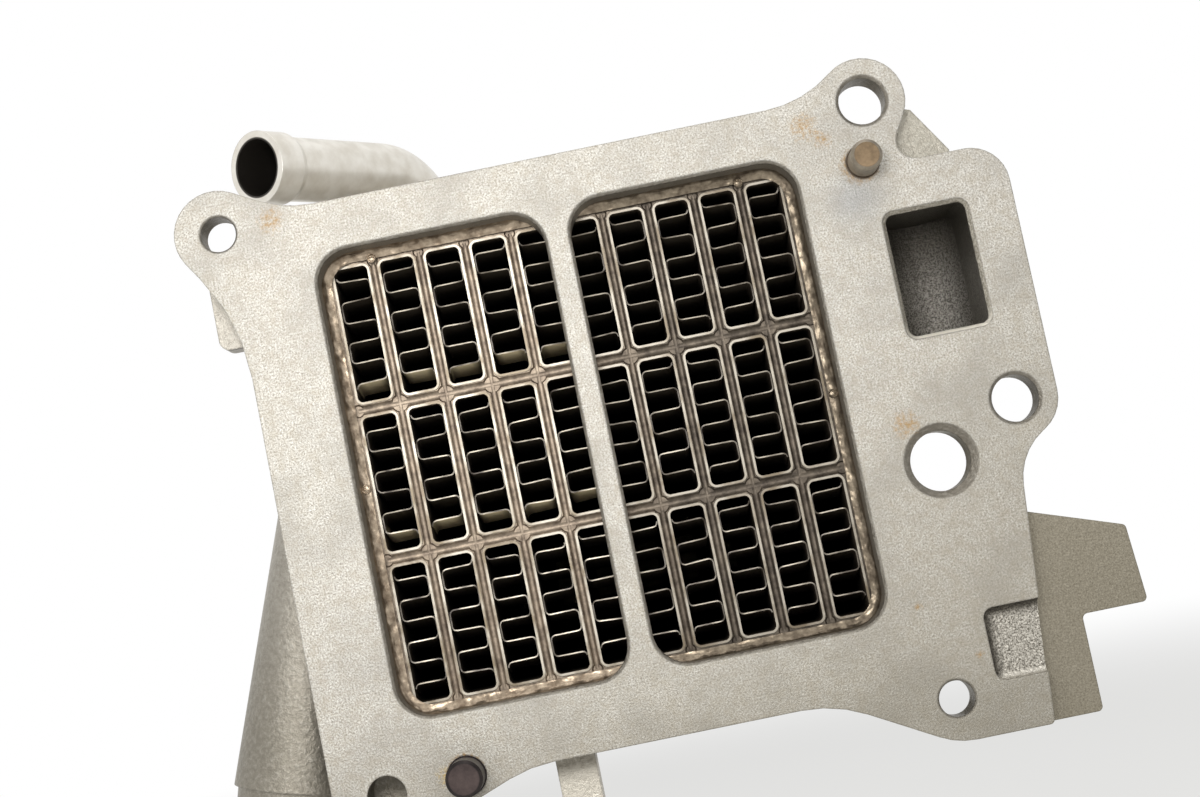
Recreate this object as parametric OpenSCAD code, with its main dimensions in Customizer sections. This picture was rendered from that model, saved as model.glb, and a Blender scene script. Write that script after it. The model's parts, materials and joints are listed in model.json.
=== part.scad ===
// U-flow exhaust gas cooler: a cast housing with a gasket flange and two gas windows,
// a brazed bundle of flat finned tubes inside it, and a return tank behind.
// The origin is the middle of the divider, on the gasket face. -Y points out of that face,
// +Y into the cooler, +X to the right and +Z up. Sizes are in millimetres.

/* [Tube bundle] */
// Tubes in one row
columns = 10; // [6:2:12]
// Rows of tubes
rows = 3; // [2:1:4]
// Width of a flat tube
tube_w = 7.5; // [5:0.1:9]
// Height of a flat tube
tube_h = 27.4; // [20:0.1:34]
// Sheet of a tube wall
tube_wall = 0.45; // [0.3:0.05:0.8]
// Outer corner radius of a tube
tube_r = 1.5; // [1:0.1:2.2]
// Gap between tubes in a row
tube_gap_x = 1.65; // [1.4:0.05:3]
// Gap between rows of tubes
tube_gap_z = 2.15; // [1.5:0.05:4]
// Length of the tubes
tube_len = 97; // [80:1:160]
// How far the tube ends lie behind the gasket face
tube_recess = 8; // [5:0.5:12]
// How far a tube stands out of its collar
tube_proud = 0.3; // [0.1:0.05:1]
// Gap that the braze fills
braze_gap = 0.05; // [0.02:0.01:0.1]

/* [Fins] */
// Webs of the folded fin in one tube
fin_webs = 6; // [4:1:8]
// Sheet of the fin
fin_t = 0.25; // [0.15:0.05:0.4]
// How far a fin's edge lies inside its tube
fin_setback = 1.5; // [0.5:0.1:4]
// Height of the waves along the flow
fin_wave = 1.5; // [0.4:0.1:2]
// Length of half a wave along the flow
fin_half_wave = 7; // [5:0.5:12]
// Height of the turned-up end of a fin
fin_end = 0.9; // [0.5:0.1:1.6]
// How far fins sit off the middle of their tubes
fin_play = 0.4; // [0:0.05:0.6]

/* [Headers] */
// Sheet of the header plates
header_t = 1.5; // [1:0.1:3]
// Height of the collars round the tubes
collar_h = 1.4; // [0.8:0.1:2.5]
// Width of a collar's rim
collar_rim = 0.15; // [0.1:0.05:0.4]
// Width of the raised border outside the tubes
header_border = 1.5; // [1:0.1:1.7]
// Depth of the round valleys between collars
valley_h = 0.55; // [0.4:0.05:0.7]
// Depth of the hollows where valleys cross and end
hollow_h = 0.45; // [0.2:0.05:0.6]
// Sheet of the plate that steadies the tubes half way
support_t = 1; // [0.6:0.1:2]
// Gap round the support plate, for the coolant
support_gap = 2; // [1:0.1:3]

/* [Windows] */
// From the outer tubes to the wall of the windows
window_margin = 2.1; // [1.9:0.1:5]
// Corner radius of the windows
window_r = 6.6; // [4:0.1:10]
// Width of the divider between the windows
divider_w = 5; // [4:0.1:8]
// Broken edge of the windows
window_break = 0.6; // [0.3:0.05:1]
// From the back of the divider to the tube ends
divider_gap = 0.3; // [0.1:0.1:1]
// Width of the seat that the front header rests on
seat_w = 2.5; // [2:0.1:5]
// Gap round the front header in its seat
seat_gap = 0.3; // [0.1:0.1:0.6]
// Thickness of the gaskets
gasket_t = 0.5; // [0.3:0.1:1.5]

/* [Flange] */
// Thickness of the flange
flange_t = 7; // [6:0.5:8]
// Flange left of the windows
land_left = 15.6; // [13:0.1:20]
// Flange above the windows
land_top = 9.8; // [8:0.1:14]
// Flange below the windows
land_bottom = 12.8; // [10:0.1:15]
// Depth of the foot below the windows, on the right
foot_drop = 24.5; // [22:0.1:28]
// Depth of the lower left corner below the windows
corner_drop = 21.2; // [20:0.1:24]
// Level of the right shoulder below the top of the windows
shoulder_drop = 5.2; // [3:0.1:6.5]
// Right side of the waist, from the windows
waist_out = 30.4; // [28:0.1:33]
// Right side of the foot, from the windows
foot_out = 25.9; // [24:0.1:28]
// How far the heel lies left of the lower right hole
heel_in = 1.6; // [0:0.1:4]
// Slope at the lower left corner: right and left of the lower pin
slope_run = [12, 11]; // [10:0.1:14]

/* [Bolt holes] */
// Diameter of the two small bolt holes
small_hole_d = 6.8; // [6:0.1:7.5]
// Diameter of the two large bolt holes
large_hole_d = 9; // [8:0.1:10]
// Diameter of the countersunk bolt hole
main_hole_d = 11.5; // [10:0.1:12]
// Diameter of the blind hole
blind_hole_d = 7.5; // [6:0.1:8]
// Depth of the blind hole
blind_hole_depth = 9; // [5:0.5:10]
// Chamfer of the small holes
small_chamfer = 0.4; // [0.2:0.1:0.8]
// Chamfer of the large holes
large_chamfer = 0.7; // [0.3:0.1:1]
// Countersink of the main hole
main_chamfer = 1.5; // [0.5:0.1:2]
// Upper left hole: left of and above the windows
upper_left = [16.9, 7.6]; // [5:0.1:20]
// Upper right hole: right of and above the windows
upper_right = [15.6, 7.9]; // [5:0.1:20]
// Lower right hole: right of and below the windows
lower_right = [9, 16.4]; // [5:0.1:20]
// Lower left hole: left of and below the windows
lower_left = [5.3, 12.8]; // [5:0.1:20]
// Right hole: right of the windows and below the middle
right_side = [32, 8.7]; // [5:0.1:35]
// Main hole: right of the windows and below the middle
main_hole = [15.7, 17.5]; // [5:0.1:20]
// Metal round the upper left hole
upper_left_lug = 5.1; // [4:0.1:6]
// Metal round the upper right hole
upper_right_lug = 3.8; // [3:0.1:5]
// Metal round the right hole
right_lug = 3.5; // [3:0.1:5]

/* [Dowel pins] */
// Diameter of the upper dowel pin
upper_pin_d = 6; // [5:0.1:6.5]
// Diameter of the lower dowel pin
lower_pin_d = 7; // [5:0.1:7.5]
// How far the pins stand out of the face
pin_out = 7; // [4:0.5:10]
// How deep the pins sit in the flange
pin_in = 6; // [4:0.5:6]
// How much thicker the pins are where they are pressed in
pin_step = 0.5; // [0.3:0.1:1]
// Width of the groove round the pins at the face
pin_groove_w = 0.6; // [0.3:0.1:1]
// Depth of that groove
pin_groove = 0.4; // [0.2:0.1:0.8]
// Play of the pins in their holes
pin_gap = 0.02; // [0.01:0.01:0.05]
// Chamfer on the pins' tips
pin_chamfer = 0.6; // [0.3:0.1:1.2]
// Upper pin: right of the windows and below their top
upper_pin = [13.2, 3.8]; // [3:0.1:15]
// Lower pin: right of the windows' left side and below them
lower_pin = [10.1, 12.1]; // [8:0.1:15]

/* [Coolant port] */
// Width of the rectangular port
port_w = 15.5; // [12:0.1:17]
// Height of the rectangular port
port_h = 23.8; // [18:0.1:26]
// Corner radius of the port
port_r = 1.6; // [1:0.1:3]
// Middle of the port: right of the windows and above the middle
port_mid = [22.8, 18.5]; // [17:0.1:25]
// Depth of the port's straight walls
port_straight = 13.5; // [11:0.5:16]
// Broken edge of the port
port_break = 0.85; // [0.3:0.05:1.2]
// How much wider than the port its round floor is, on each side
port_sag = 0.6; // [0.2:0.1:1]
// Cast wall round the port
port_wall = 3.5; // [2.5:0.1:4]

/* [Jacket] */
// Wall of the coolant jacket
jacket_wall = 4.5; // [3:0.1:6]
// Corner radius of the jacket's cavity
cavity_r = 8; // [5:0.1:12]
// Land round the cavity at the back, for the screws
rear_land = 12; // [10:0.5:15]
// Thickness of the back flange
rear_flange_t = 8; // [6:0.5:12]
// Corner radius of the back flange
rear_r = 14; // [10:0.5:18]

/* [Return tank] */
// Depth of the return tank
tank_depth = 26; // [18:1:40]
// Sheet of the return tank
tank_wall = 2; // [1.2:0.1:3]
// Thickness of the tank's flange
tank_flange_t = 4; // [3:0.5:6]
// How much narrower the tank is where its sides end than at its mouth
tank_lean = 8; // [3:0.5:12]
// How much narrower the tank's flat back is than its mouth
tank_crown = 24; // [16:0.5:30]
// Corner radius of the tank's dome
tank_r = 10; // [7:0.5:14]
// Diameter of the tank screws
screw_d = 6; // [5:0.5:7]
// Length of the tank screws
screw_len = 20; // [16:1:22]
// Height of a screw's head
screw_head_h = 4.5; // [3:0.1:6]
// How far a screw's head reaches beyond its shank
head_out = 2.6; // [2:0.1:3]
// How far a washer reaches beyond its screw
washer_out = 3; // [2.5:0.1:3]
// Thickness of the washers
washer_t = 1.2; // [0.8:0.1:2]
// Metal round the screws' threads
screw_metal = 3.5; // [2.5:0.1:4]
// How far the corner screws lie inside the side screws
screw_inset = 7.2; // [6:0.1:9]
// From one side screw to the other
side_screws = 38.3; // [25:0.1:50]
// Clearance of the screws in their holes
screw_gap = 0.3; // [0.2:0.05:0.5]
// Play of the screws in their threads
thread_gap = 0.05; // [0.02:0.01:0.1]

/* [Coolant pipe] */
// Outer diameter of the pipe
pipe_d = 14; // [12:0.1:15]
// Wall of the pipe
pipe_wall = 0.9; // [0.6:0.1:1.5]
// Diameter of the belled end
bell_d = 15.8; // [15.5:0.1:18]
// Length of the belled end
bell_len = 6.5; // [4:0.5:10]
// Straight length of the pipe from its mouth to the bend
pipe_len = 38; // [25:1:50]
// Bend radius of the pipe
pipe_bend = 14; // [11:0.5:18]
// Height of the pipe's axis above the jacket
pipe_rise = 21.7; // [19:0.1:28]
// Turn of the pipe away from straight forward
pipe_turn = 37; // [0:1:60]
// Foot of the pipe: left of the middle and in front of the housing's back
pipe_foot = [29, 18.3]; // [16:0.1:40]
// Metal round the pipe's foot
boss_wall = 4; // [3:0.5:6]
// Height of the pipe's boss above the jacket
boss_h = 6.5; // [4:0.5:7]
// Depth of the pipe in its boss
pipe_seat = 8.5; // [5:0.5:9]

/* [Left duct] */
// Radius of the duct where it leaves the jacket's wall
duct_r0 = 5.4; // [4:0.1:7]
// Radius of the duct at its end
duct_r1 = 13; // [11:0.1:15]
// Length of the duct
duct_len = 88; // [80:1:100]
// Lean of the duct
duct_lean = 15.1; // [10:0.1:20]
// Height of the duct's start above the middle
duct_start = 30; // [20:0.5:36]
// How far the duct's axis lies behind the face
duct_back = 24; // [22:0.5:30]
// Cast wall of the duct
duct_wall = 3.5; // [2.5:0.1:4]
// Length of the turned spigot at its end
spigot_len = 14; // [8:0.5:20]
// Step from the duct to the spigot
spigot_step = 0.8; // [0.4:0.1:1.5]
// Height of the gate from the duct into the jacket
gate_h = 17.6; // [12:0.1:24]

/* [Bracket, web, block and leg] */
// How far the bracket lies behind the face
bracket_back = 5; // [3:0.5:6]
// Thickness of the bracket
bracket_t = 10; // [6:0.5:14]
// Reach of the bracket beyond the foot
bracket_out = 23.2; // [18:0.1:28]
// Width of the bracket's tail beyond the foot
tail_out = 10.4; // [6:0.1:14]
// Height of the bracket above the foot's edge
bracket_h = 39.6; // [34:0.1:44]
// Height of the bracket's end
bracket_end = 15; // [10:0.1:18]
// Height of the tail
tail_h = 18.5; // [14:0.1:22]
// Depth of the recess in the face
recess_depth = 2.5; // [1:0.1:4]
// Height of the recess
recess_h = 13.8; // [10:0.1:16]
// Recess: right of and below the windows
recess_at = [17, 1]; // [0.5:0.1:20]
// How far the web beside the upper right lug lies behind the face
web_back = 3.5; // [2:0.5:5]
// How far the web's upper corner lies outside that lug
web_out = 1.4; // [0.5:0.1:2.5]
// Width of the block behind the upper left lug
block_w = 15.6; // [13:0.1:18]
// Height of the block
block_h = 16.2; // [12:0.1:18]
// Depth of the block
block_t = 6; // [4:0.5:25]
// Level of the block's top below the upper left hole
block_drop = 5.4; // [5:0.1:8]
// Width of the leg
leg_w = 7.7; // [6:0.1:12]
// Depth of the leg
leg_t = 10; // [6:0.5:15]
// Length of the leg below the jacket
leg_len = 27.5; // [18:0.5:35]
// Middle of the leg, left of the divider
leg_left = 16.8; // [5:0.1:25]
// How far the leg lies behind the back of the flange
leg_back = 2; // [0:0.5:6]

/* [Hidden] */
$fn = 64;
eps = 0.01;
slack = 1;

// Tube bundle
pitch_x = tube_w + tube_gap_x;
pitch_z = tube_h + tube_gap_z;
core_w = columns * tube_w + (columns - 1) * tube_gap_x;
core_h = rows * tube_h + (rows - 1) * tube_gap_z;
function tube_x(c) = (c - (columns - 1) / 2) * pitch_x;
function tube_z(r) = ((rows - 1) / 2 - r) * pitch_z;

// Levels from front to back
header_y = tube_recess + tube_proud + collar_h;
seat_y = header_y - gasket_t;
tube_y1 = tube_recess + tube_len;
rear_plate_y1 = tube_y1 - tube_proud - collar_h;
rear_plate_y0 = rear_plate_y1 - header_t;
housing_y1 = rear_plate_y0 - gasket_t;
tank_y0 = rear_plate_y1 + gasket_t;
support_y = (header_y + rear_plate_y1) / 2;

// Windows, seat and jacket
win_x = core_w / 2 + window_margin;
win_z = core_h / 2 + window_margin;
window_w = win_x - divider_w / 2;
cavity_w = 2 * (win_x + seat_w);
cavity_h = 2 * (win_z + seat_w);
jacket_w = cavity_w + 2 * jacket_wall;
jacket_h = cavity_h + 2 * jacket_wall;
collar_r = window_r - window_margin + header_border;
rear_w = cavity_w + 2 * rear_land;
rear_h = cavity_h + 2 * rear_land;

// Places on the gasket face, each [x, z]
tl_hole = [-win_x - upper_left[0], win_z + upper_left[1]];
tr_hole = [win_x + upper_right[0], win_z + upper_right[1]];
r_hole = [win_x + right_side[0], -right_side[1]];
br_hole = [win_x + lower_right[0], -win_z - lower_right[1]];
bl_hole = [-win_x - lower_left[0], -win_z - lower_left[1]];
bolt_hole = [win_x + main_hole[0], -main_hole[1]];
upper_pin_at = [win_x + upper_pin[0], win_z - upper_pin[1]];
lower_pin_at = [-win_x + lower_pin[0], -win_z - lower_pin[1]];
port_at = [win_x + port_mid[0], port_mid[1]];
tl_r = small_hole_d / 2 + upper_left_lug;
tr_r = large_hole_d / 2 + upper_right_lug;
r_r = large_hole_d / 2 + right_lug;

// Edges of the flange
left_x = -win_x - land_left;
right_x = r_hole.x + r_r;
top_z = win_z + land_top;
bottom_z = -win_z - land_bottom;
shoulder_z = win_z - shoulder_drop;
foot_z = -win_z - foot_drop;
corner_z = -win_z - corner_drop;
waist_x = win_x + waist_out;
foot_x = win_x + foot_out;

// Headings of the outline as it comes to and leaves each lug, clockwise
tl_in = 123.5;
tl_out = -29;
tr_in = 38;
tr_out = -121;
r_out = -149;
web_heading = -17.8;
foot_slope = 29;

// Fillets of the outline
side_fillet = 38;
top_fillet = 22;
notch_r = 3.7;
shoulder_r = 7.5;
waist_r = 12;
heel_r = 14;
bottom_fillet = 25;
corner_r = 9;
small_r = 1;
cast_r = 2;
hollow_lean = 0.3;

// Screws of the return tank, as [x, z] on the back flange
screw_x = cavity_w / 2 + rear_land / 2;
screw_z = cavity_h / 2 + rear_land / 2;
screw_corner_x = screw_x - screw_inset;
screw_at = concat(
    [for (x = [-1, 0, 1], z = [-1, 1]) [x * screw_corner_x, z * screw_z]],
    [for (x = [-1, 1], z = [-1, 1]) [x * screw_x, z * side_screws / 2]]);
screw_boss_r = screw_d / 2 + screw_metal;
washer_r = screw_d / 2 + washer_out;
hex_r = screw_d / 2 + head_out;
thread_depth = screw_len - tank_flange_t - 2 * gasket_t - header_t + slack;

// Coolant port, pipe and duct
port_floor_r = port_w / 2 + port_sag;
pod_depth = port_straight + port_floor_r + port_wall;
pipe_z = jacket_h / 2 + pipe_rise;
pipe_at = [-pipe_foot[0], housing_y1 - pipe_foot[1], 0];
boss_z = jacket_h / 2 + boss_h;
pipe_bottom = boss_z - pipe_seat;
duct_at = [-cavity_w / 2, duct_back, duct_start];

// Names of the nodes
function tube_name(r, c) = str("tube_", r + 1, "_", c + 1);
function fins_name(r) = str("fins_row_", r + 1);

// Outlines: a list of [x, y, radius] corners becomes a list of points with round corners
arc_step = 12;
function xy(p) = [p[0], p[1]];
function unit(v) = v / norm(v);
function arc(c, r, from, sweep) =
    let (n = max(1, ceil(abs(sweep) / arc_step)))
    [for (k = [0:n]) c + r * [cos(from + sweep * k / n), sin(from + sweep * k / n)]];
function round_corner(a, p, b) =
    let (u = unit(xy(a) - xy(p)), v = unit(xy(b) - xy(p)))
    let (half = acos(u * v) / 2, middle = xy(p) + unit(u + v) * p[2] / sin(half))
    let (start = xy(p) + u * p[2] / tan(half) - middle)
    arc(middle, p[2], atan2(start.y, start.x), sign(cross(v, u)) * (180 - 2 * half));
function rounded(corners) =
    let (n = len(corners))
    [for (i = [0:n - 1]) each round_corner(corners[(i + n - 1) % n], corners[i], corners[(i + 1) % n])];
function round_rect(w, h, r) =
    rounded([[w / 2, h / 2, r], [w / 2, -h / 2, r], [-w / 2, -h / 2, r], [-w / 2, h / 2, r]]);

// A line of the outline with a given heading that touches a lug, clockwise round it
function touch(c, r, heading) = c + r * [cos(heading + 90), sin(heading + 90)];
function at_x(p, heading, x) = [x, p.y + (x - p.x) * tan(heading)];
function at_z(p, heading, z) = [p.x + (z - p.y) / tan(heading), z];
function lug(c, r, into, out) =
    let (corner = c + r / cos((into - out) / 2) * [cos((into + out) / 2 + 90), sin((into + out) / 2 + 90)])
    [corner.x, corner.y, r];
function with_r(p, r) = [p.x, p.y, r];

heel = [br_hole.x - heel_in, foot_z];
flange_outline = rounded([
    lug(tl_hole, tl_r, tl_in, tl_out),
    with_r(at_z(touch(tl_hole, tl_r, tl_out), tl_out, top_z), top_fillet),
    with_r(at_z(touch(tr_hole, tr_r, tr_in), tr_in, top_z), top_fillet),
    lug(tr_hole, tr_r, tr_in, tr_out),
    with_r(at_z(touch(tr_hole, tr_r, tr_out), tr_out, shoulder_z), notch_r),
    [right_x, shoulder_z, shoulder_r],
    lug(r_hole, r_r, -90, r_out),
    with_r(at_x(touch(r_hole, r_r, r_out), r_out, waist_x), waist_r),
    [foot_x, foot_z, small_r],
    with_r(heel, heel_r),
    with_r(at_z(heel, -foot_slope, bottom_z), bottom_fillet),
    [lower_pin_at.x + slope_run[0], bottom_z, bottom_fillet],
    [lower_pin_at.x - slope_run[1], corner_z, heel_r],
    [left_x, corner_z, corner_r],
    with_r(at_x(touch(tl_hole, tl_r, tl_in), tl_in, left_x), side_fillet)]);

// A flat shape drawn in X and Z, with its depth along Y
module slab(y, depth) {
    translate([0, y + depth, 0])
        rotate([90, 0, 0])
            linear_extrude(depth)
                children();
}

// A round hole or peg along Y, at [x, z]
module drill(at, y, depth, r1, r2) {
    translate([at.x, y, at.y])
        rotate([-90, 0, 0])
            cylinder(h = depth, r1 = r1, r2 = r2);
}

// A through hole in the flange with a chamfer at the gasket face
module bolt_bore(at, d, chamfer) {
    drill(at, -slack, flange_t + 2 * slack, d / 2, d / 2);
    drill(at, -chamfer, 2 * chamfer, d / 2 + 2 * chamfer, d / 2);
}

// The blind hole that a dowel pin is pressed into
module pin_hole(at, d) {
    r = (d + pin_step + pin_gap) / 2;
    drill(at, -slack, pin_in + slack, r, r);
}

// The broken edge round a rounded opening in the gasket face
module broken_edge(w, h, r, edge) {
    hull() {
        slab(-edge, eps)
            polygon(round_rect(w + 4 * edge, h + 4 * edge, r + 2 * edge));
        slab(edge, eps)
            polygon(round_rect(w, h, r));
    }
}

module place(at) {
    translate([at.x, 0, at.y])
        children();
}

// Casting

module windows() {
    for (side = [-1, 1])
        place([side * (divider_w + window_w) / 2, 0]) {
            slab(-slack, seat_y + 2 * slack)
                polygon(round_rect(window_w, 2 * win_z, window_r));
            broken_edge(window_w, 2 * win_z, window_r, window_break);
        }
    slab(tube_recess - divider_gap, seat_y)
        polygon(round_rect(2 * win_x, 2 * win_z, window_r));
}

module coolant_port() {
    place(port_at) {
        intersection() {
            slab(-slack, pod_depth)
                polygon(round_rect(port_w, port_h, port_r));
            union() {
                translate([-port_w, -2 * slack, -port_h])
                    cube([2 * port_w, port_straight + 2 * slack, 2 * port_h]);
                translate([0, port_straight, -port_h])
                    cylinder(h = 2 * port_h, r = port_floor_r);
            }
        }
        broken_edge(port_w, port_h, port_r, port_break);
    }
    passage_y = header_y + header_t + slack;
    passage_w = port_at.x - port_w / 2 - cavity_w / 2 + 2 * slack;
    passage_h = port_h - 2 * port_r;
    translate([cavity_w / 2 - slack, passage_y, port_at.y - passage_h / 2])
        cube([passage_w, port_straight + port_wall - passage_y, passage_h]);
}

module port_pod() {
    pod_w = port_w + 2 * port_wall;
    pod_h = port_h + 2 * port_wall;
    slab(flange_t - slack, pod_depth - flange_t + slack) {
        translate(port_at)
            polygon(round_rect(pod_w, pod_h, cast_r));
        translate([cavity_w / 2 + slack, port_at.y - pod_h / 2])
            square([port_at.x - cavity_w / 2, pod_h]);
    }
}

module bracket() {
    inner_x = win_x + recess_at[0];
    end_z = foot_z + tail_h;
    slab(bracket_back, bracket_t)
        polygon(rounded([
            [inner_x, foot_z + bracket_h, small_r],
            [waist_x, foot_z + bracket_h, small_r],
            [foot_x + bracket_out - small_r, end_z + bracket_end, small_r],
            [foot_x + bracket_out, end_z, small_r],
            [foot_x + tail_out, end_z, small_r],
            [foot_x + tail_out, foot_z, small_r],
            [inner_x, foot_z, small_r]]));
}

module web() {
    slab(web_back, flange_t - web_back)
        polygon([
            tr_hole,
            tr_hole + (tr_r + web_out) * [cos(web_heading), sin(web_heading)],
            [port_at.x + port_w / 2, shoulder_z + small_r],
            [port_at.x + port_w / 2, shoulder_z - shoulder_r],
            [tr_hole.x, shoulder_z - shoulder_r]]);
}

module block() {
    place([-jacket_w / 2 - block_w / 2 + slack, tl_hole.y - block_drop - block_h / 2])
        slab(flange_t - slack, block_t)
            polygon(round_rect(block_w, block_h, cast_r));
}

module leg() {
    place([-leg_left, -jacket_h / 2 - leg_len / 2 + slack])
        slab(flange_t + leg_back, leg_t)
            polygon(round_rect(leg_w, leg_len, cast_r));
}

module recess() {
    recess_w = bracket_out;
    place([win_x + recess_at[0] + recess_w / 2, -win_z - recess_at[1] - recess_h / 2])
        slab(-slack, recess_depth + slack)
            polygon(round_rect(recess_w, recess_h, cast_r));
}

module along_duct() {
    translate(duct_at)
        rotate([0, 180 + duct_lean, 0])
            children();
}

module duct() {
    along_duct() {
        cylinder(h = duct_len, r1 = duct_r0, r2 = duct_r1);
        translate([0, 0, duct_len - slack])
            cylinder(h = spigot_len + slack, r = duct_r1 - spigot_step);
    }
}

module duct_bore() {
    bore_r1 = duct_r1 - duct_wall;
    along_duct() {
        cylinder(h = duct_len, r1 = duct_r0 - duct_wall, r2 = bore_r1);
        translate([0, 0, duct_len - eps])
            cylinder(h = spigot_len + slack, r = bore_r1);
    }
    translate([-jacket_w / 2 - duct_wall, duct_back - duct_wall, -gate_h / 2 - duct_wall])
        cube([jacket_wall + 2 * duct_wall, 2 * duct_wall, gate_h]);
}

module pipe_boss() {
    translate(pipe_at + [0, 0, jacket_h / 2 - slack])
        cylinder(h = boss_h + slack, r = pipe_d / 2 + boss_wall);
}

module pipe_bore() {
    translate(pipe_at) {
        translate([0, 0, pipe_bottom])
            cylinder(h = pipe_seat + slack, r = pipe_d / 2 + braze_gap);
        translate([0, 0, cavity_h / 2 - slack])
            cylinder(h = jacket_wall + boss_h, r = pipe_d / 2 - pipe_wall);
    }
}

module back_flange() {
    slab(housing_y1 - rear_flange_t, rear_flange_t)
        polygon(round_rect(rear_w, rear_h, rear_r));
    for (at = screw_at)
        drill(at, housing_y1 - thread_depth - slack, thread_depth, screw_boss_r, screw_boss_r);
}

module housing() {
    color("#c9c4b8")
        difference() {
            union() {
                slab(0, flange_t)
                    polygon(flange_outline);
                slab(flange_t - slack, housing_y1 - flange_t)
                    polygon(round_rect(jacket_w, jacket_h, cavity_r + jacket_wall));
                drill(bl_hole, flange_t - slack, blind_hole_depth, blind_hole_d, blind_hole_d);
                back_flange();
                port_pod();
                bracket();
                web();
                block();
                leg();
                duct();
                pipe_boss();
            }
            windows();
            slab(seat_y, housing_y1)
                polygon(round_rect(cavity_w, cavity_h, cavity_r));
            coolant_port();
            recess();
            duct_bore();
            pipe_bore();
            bolt_bore(tl_hole, small_hole_d, small_chamfer);
            bolt_bore(br_hole, small_hole_d, small_chamfer);
            bolt_bore(tr_hole, large_hole_d, large_chamfer);
            bolt_bore(r_hole, large_hole_d, large_chamfer);
            bolt_bore(bolt_hole, main_hole_d, main_chamfer);
            drill(bl_hole, -slack, blind_hole_depth + slack, blind_hole_d / 2, blind_hole_d / 2);
            pin_hole(upper_pin_at, upper_pin_d);
            pin_hole(lower_pin_at, lower_pin_d);
            for (at = screw_at)
                drill(at, housing_y1 - thread_depth, thread_depth + slack,
                    screw_d / 2 + thread_gap, screw_d / 2 + thread_gap);
        }
}

// Pins and pipe

module dowel_pin(at, d) {
    press_r = (d + pin_step) / 2;
    neck_r = d / 2 - pin_groove;
    drill(at, 0, pin_in, press_r, press_r);
    drill(at, -pin_groove_w - eps, pin_groove_w + 2 * eps, neck_r, neck_r);
    drill(at, -pin_out + pin_chamfer, pin_out - pin_chamfer - pin_groove_w, d / 2, d / 2);
    drill(at, -pin_out, pin_chamfer, d / 2 - pin_chamfer, d / 2);
}

module upper_dowel_pin() {
    color("#8a6e55")
        dowel_pin(upper_pin_at, upper_pin_d);
}

module lower_dowel_pin() {
    color("#4a3f3c")
        dowel_pin(lower_pin_at, lower_pin_d);
}

// The pipe's run at a given radius: up from its boss, round the bend and out to the mouth
module pipe_run(r, extra) {
    translate(pipe_at)
        rotate([0, 0, -pipe_turn - 90]) {
            translate([0, 0, pipe_bottom - extra])
                cylinder(h = pipe_z - pipe_bend - pipe_bottom + extra, r = r);
            translate([pipe_bend, 0, pipe_z - pipe_bend]) {
                rotate([90, 0, 0])
                    rotate([0, 0, 90])
                        rotate_extrude(angle = 90)
                            translate([pipe_bend, 0])
                                circle(r = r);
                translate([0, 0, pipe_bend])
                    rotate([0, 90, 0])
                        cylinder(h = pipe_len + extra, r = r);
            }
        }
}

module coolant_pipe() {
    color("#b9b3a8")
        difference() {
            union() {
                pipe_run(pipe_d / 2, 0);
                translate(pipe_at + [0, 0, pipe_z])
                    rotate([0, 0, -pipe_turn - 90])
                        translate([pipe_bend + pipe_len - bell_len, 0, 0])
                            rotate([0, 90, 0]) {
                                cylinder(h = bell_len, r = bell_d / 2);
                                translate([0, 0, -bell_d + pipe_d])
                                    cylinder(h = bell_d - pipe_d, r1 = pipe_d / 2 - eps, r2 = bell_d / 2);
                            }
            }
            pipe_run(pipe_d / 2 - pipe_wall, slack);
        }
}

// Tube bundle

module tube_outline(grow) {
    polygon(round_rect(tube_w + 2 * grow, tube_h + 2 * grow, tube_r + grow));
}

module tube_slots(y, depth) {
    for (r = [0:rows - 1], c = [0:columns - 1])
        place([tube_x(c), tube_z(r)])
            slab(y, depth)
                tube_outline(braze_gap);
}

module tube(r, c) {
    color("#d8d0c0")
        place([tube_x(c), tube_z(r)])
            difference() {
                slab(tube_recess, tube_len)
                    tube_outline(0);
                slab(tube_recess - slack, tube_len + 2 * slack)
                    tube_outline(-tube_wall);
            }
}

// The round valley between two rows of collars, sunk into their rims
module valley(gap, length) {
    half_w = gap / 2 - collar_rim;
    r = (half_w * half_w + valley_h * valley_h) / (2 * valley_h);
    translate([0, valley_h - r, -length / 2])
        cylinder(h = length, r = r);
}

// A round hollow between the corners of tubes that lie these gaps apart
function hollow_r(gap_x, gap_z) = norm([gap_x / 2 + tube_r, gap_z / 2 + tube_r]) - tube_r - collar_rim;
module hollow(at, r) {
    drill(at, -collar_h - hollow_h, 2 * hollow_h, r + hollow_lean, r - hollow_lean);
}

// A header: its plate from y = 0 back, and its collars forward from there
module header_body() {
    border = 2 * header_border;
    gap_xs = [for (c = [0:columns - 2]) tube_x(c) + pitch_x / 2];
    gap_zs = [for (r = [0:rows - 2]) tube_z(r) - pitch_z / 2];
    side = [-1, 1];
    difference() {
        union() {
            children();
            slab(-collar_h, collar_h + eps)
                polygon(round_rect(core_w + border, core_h + border, collar_r));
        }
        tube_slots(-collar_h - slack, collar_h + header_t + 2 * slack);
        for (x = gap_xs)
            translate([x, -collar_h, 0])
                valley(tube_gap_x, core_h);
        for (z = gap_zs)
            translate([0, -collar_h, z])
                rotate([0, 90, 0])
                    valley(tube_gap_z, core_w);
        for (x = gap_xs, z = gap_zs)
            hollow([x, z], hollow_r(tube_gap_x, tube_gap_z));
        for (x = gap_xs, k = side)
            hollow([x, k * core_h / 2], hollow_r(tube_gap_x, 0));
        for (z = gap_zs, k = side)
            hollow([k * core_w / 2, z], hollow_r(0, tube_gap_z));
    }
}

module front_header() {
    color("#8a7a68")
        translate([0, header_y, 0])
            header_body()
                slab(0, header_t)
                    polygon(round_rect(cavity_w - 2 * seat_gap, cavity_h - 2 * seat_gap, cavity_r - seat_gap));
}

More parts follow.
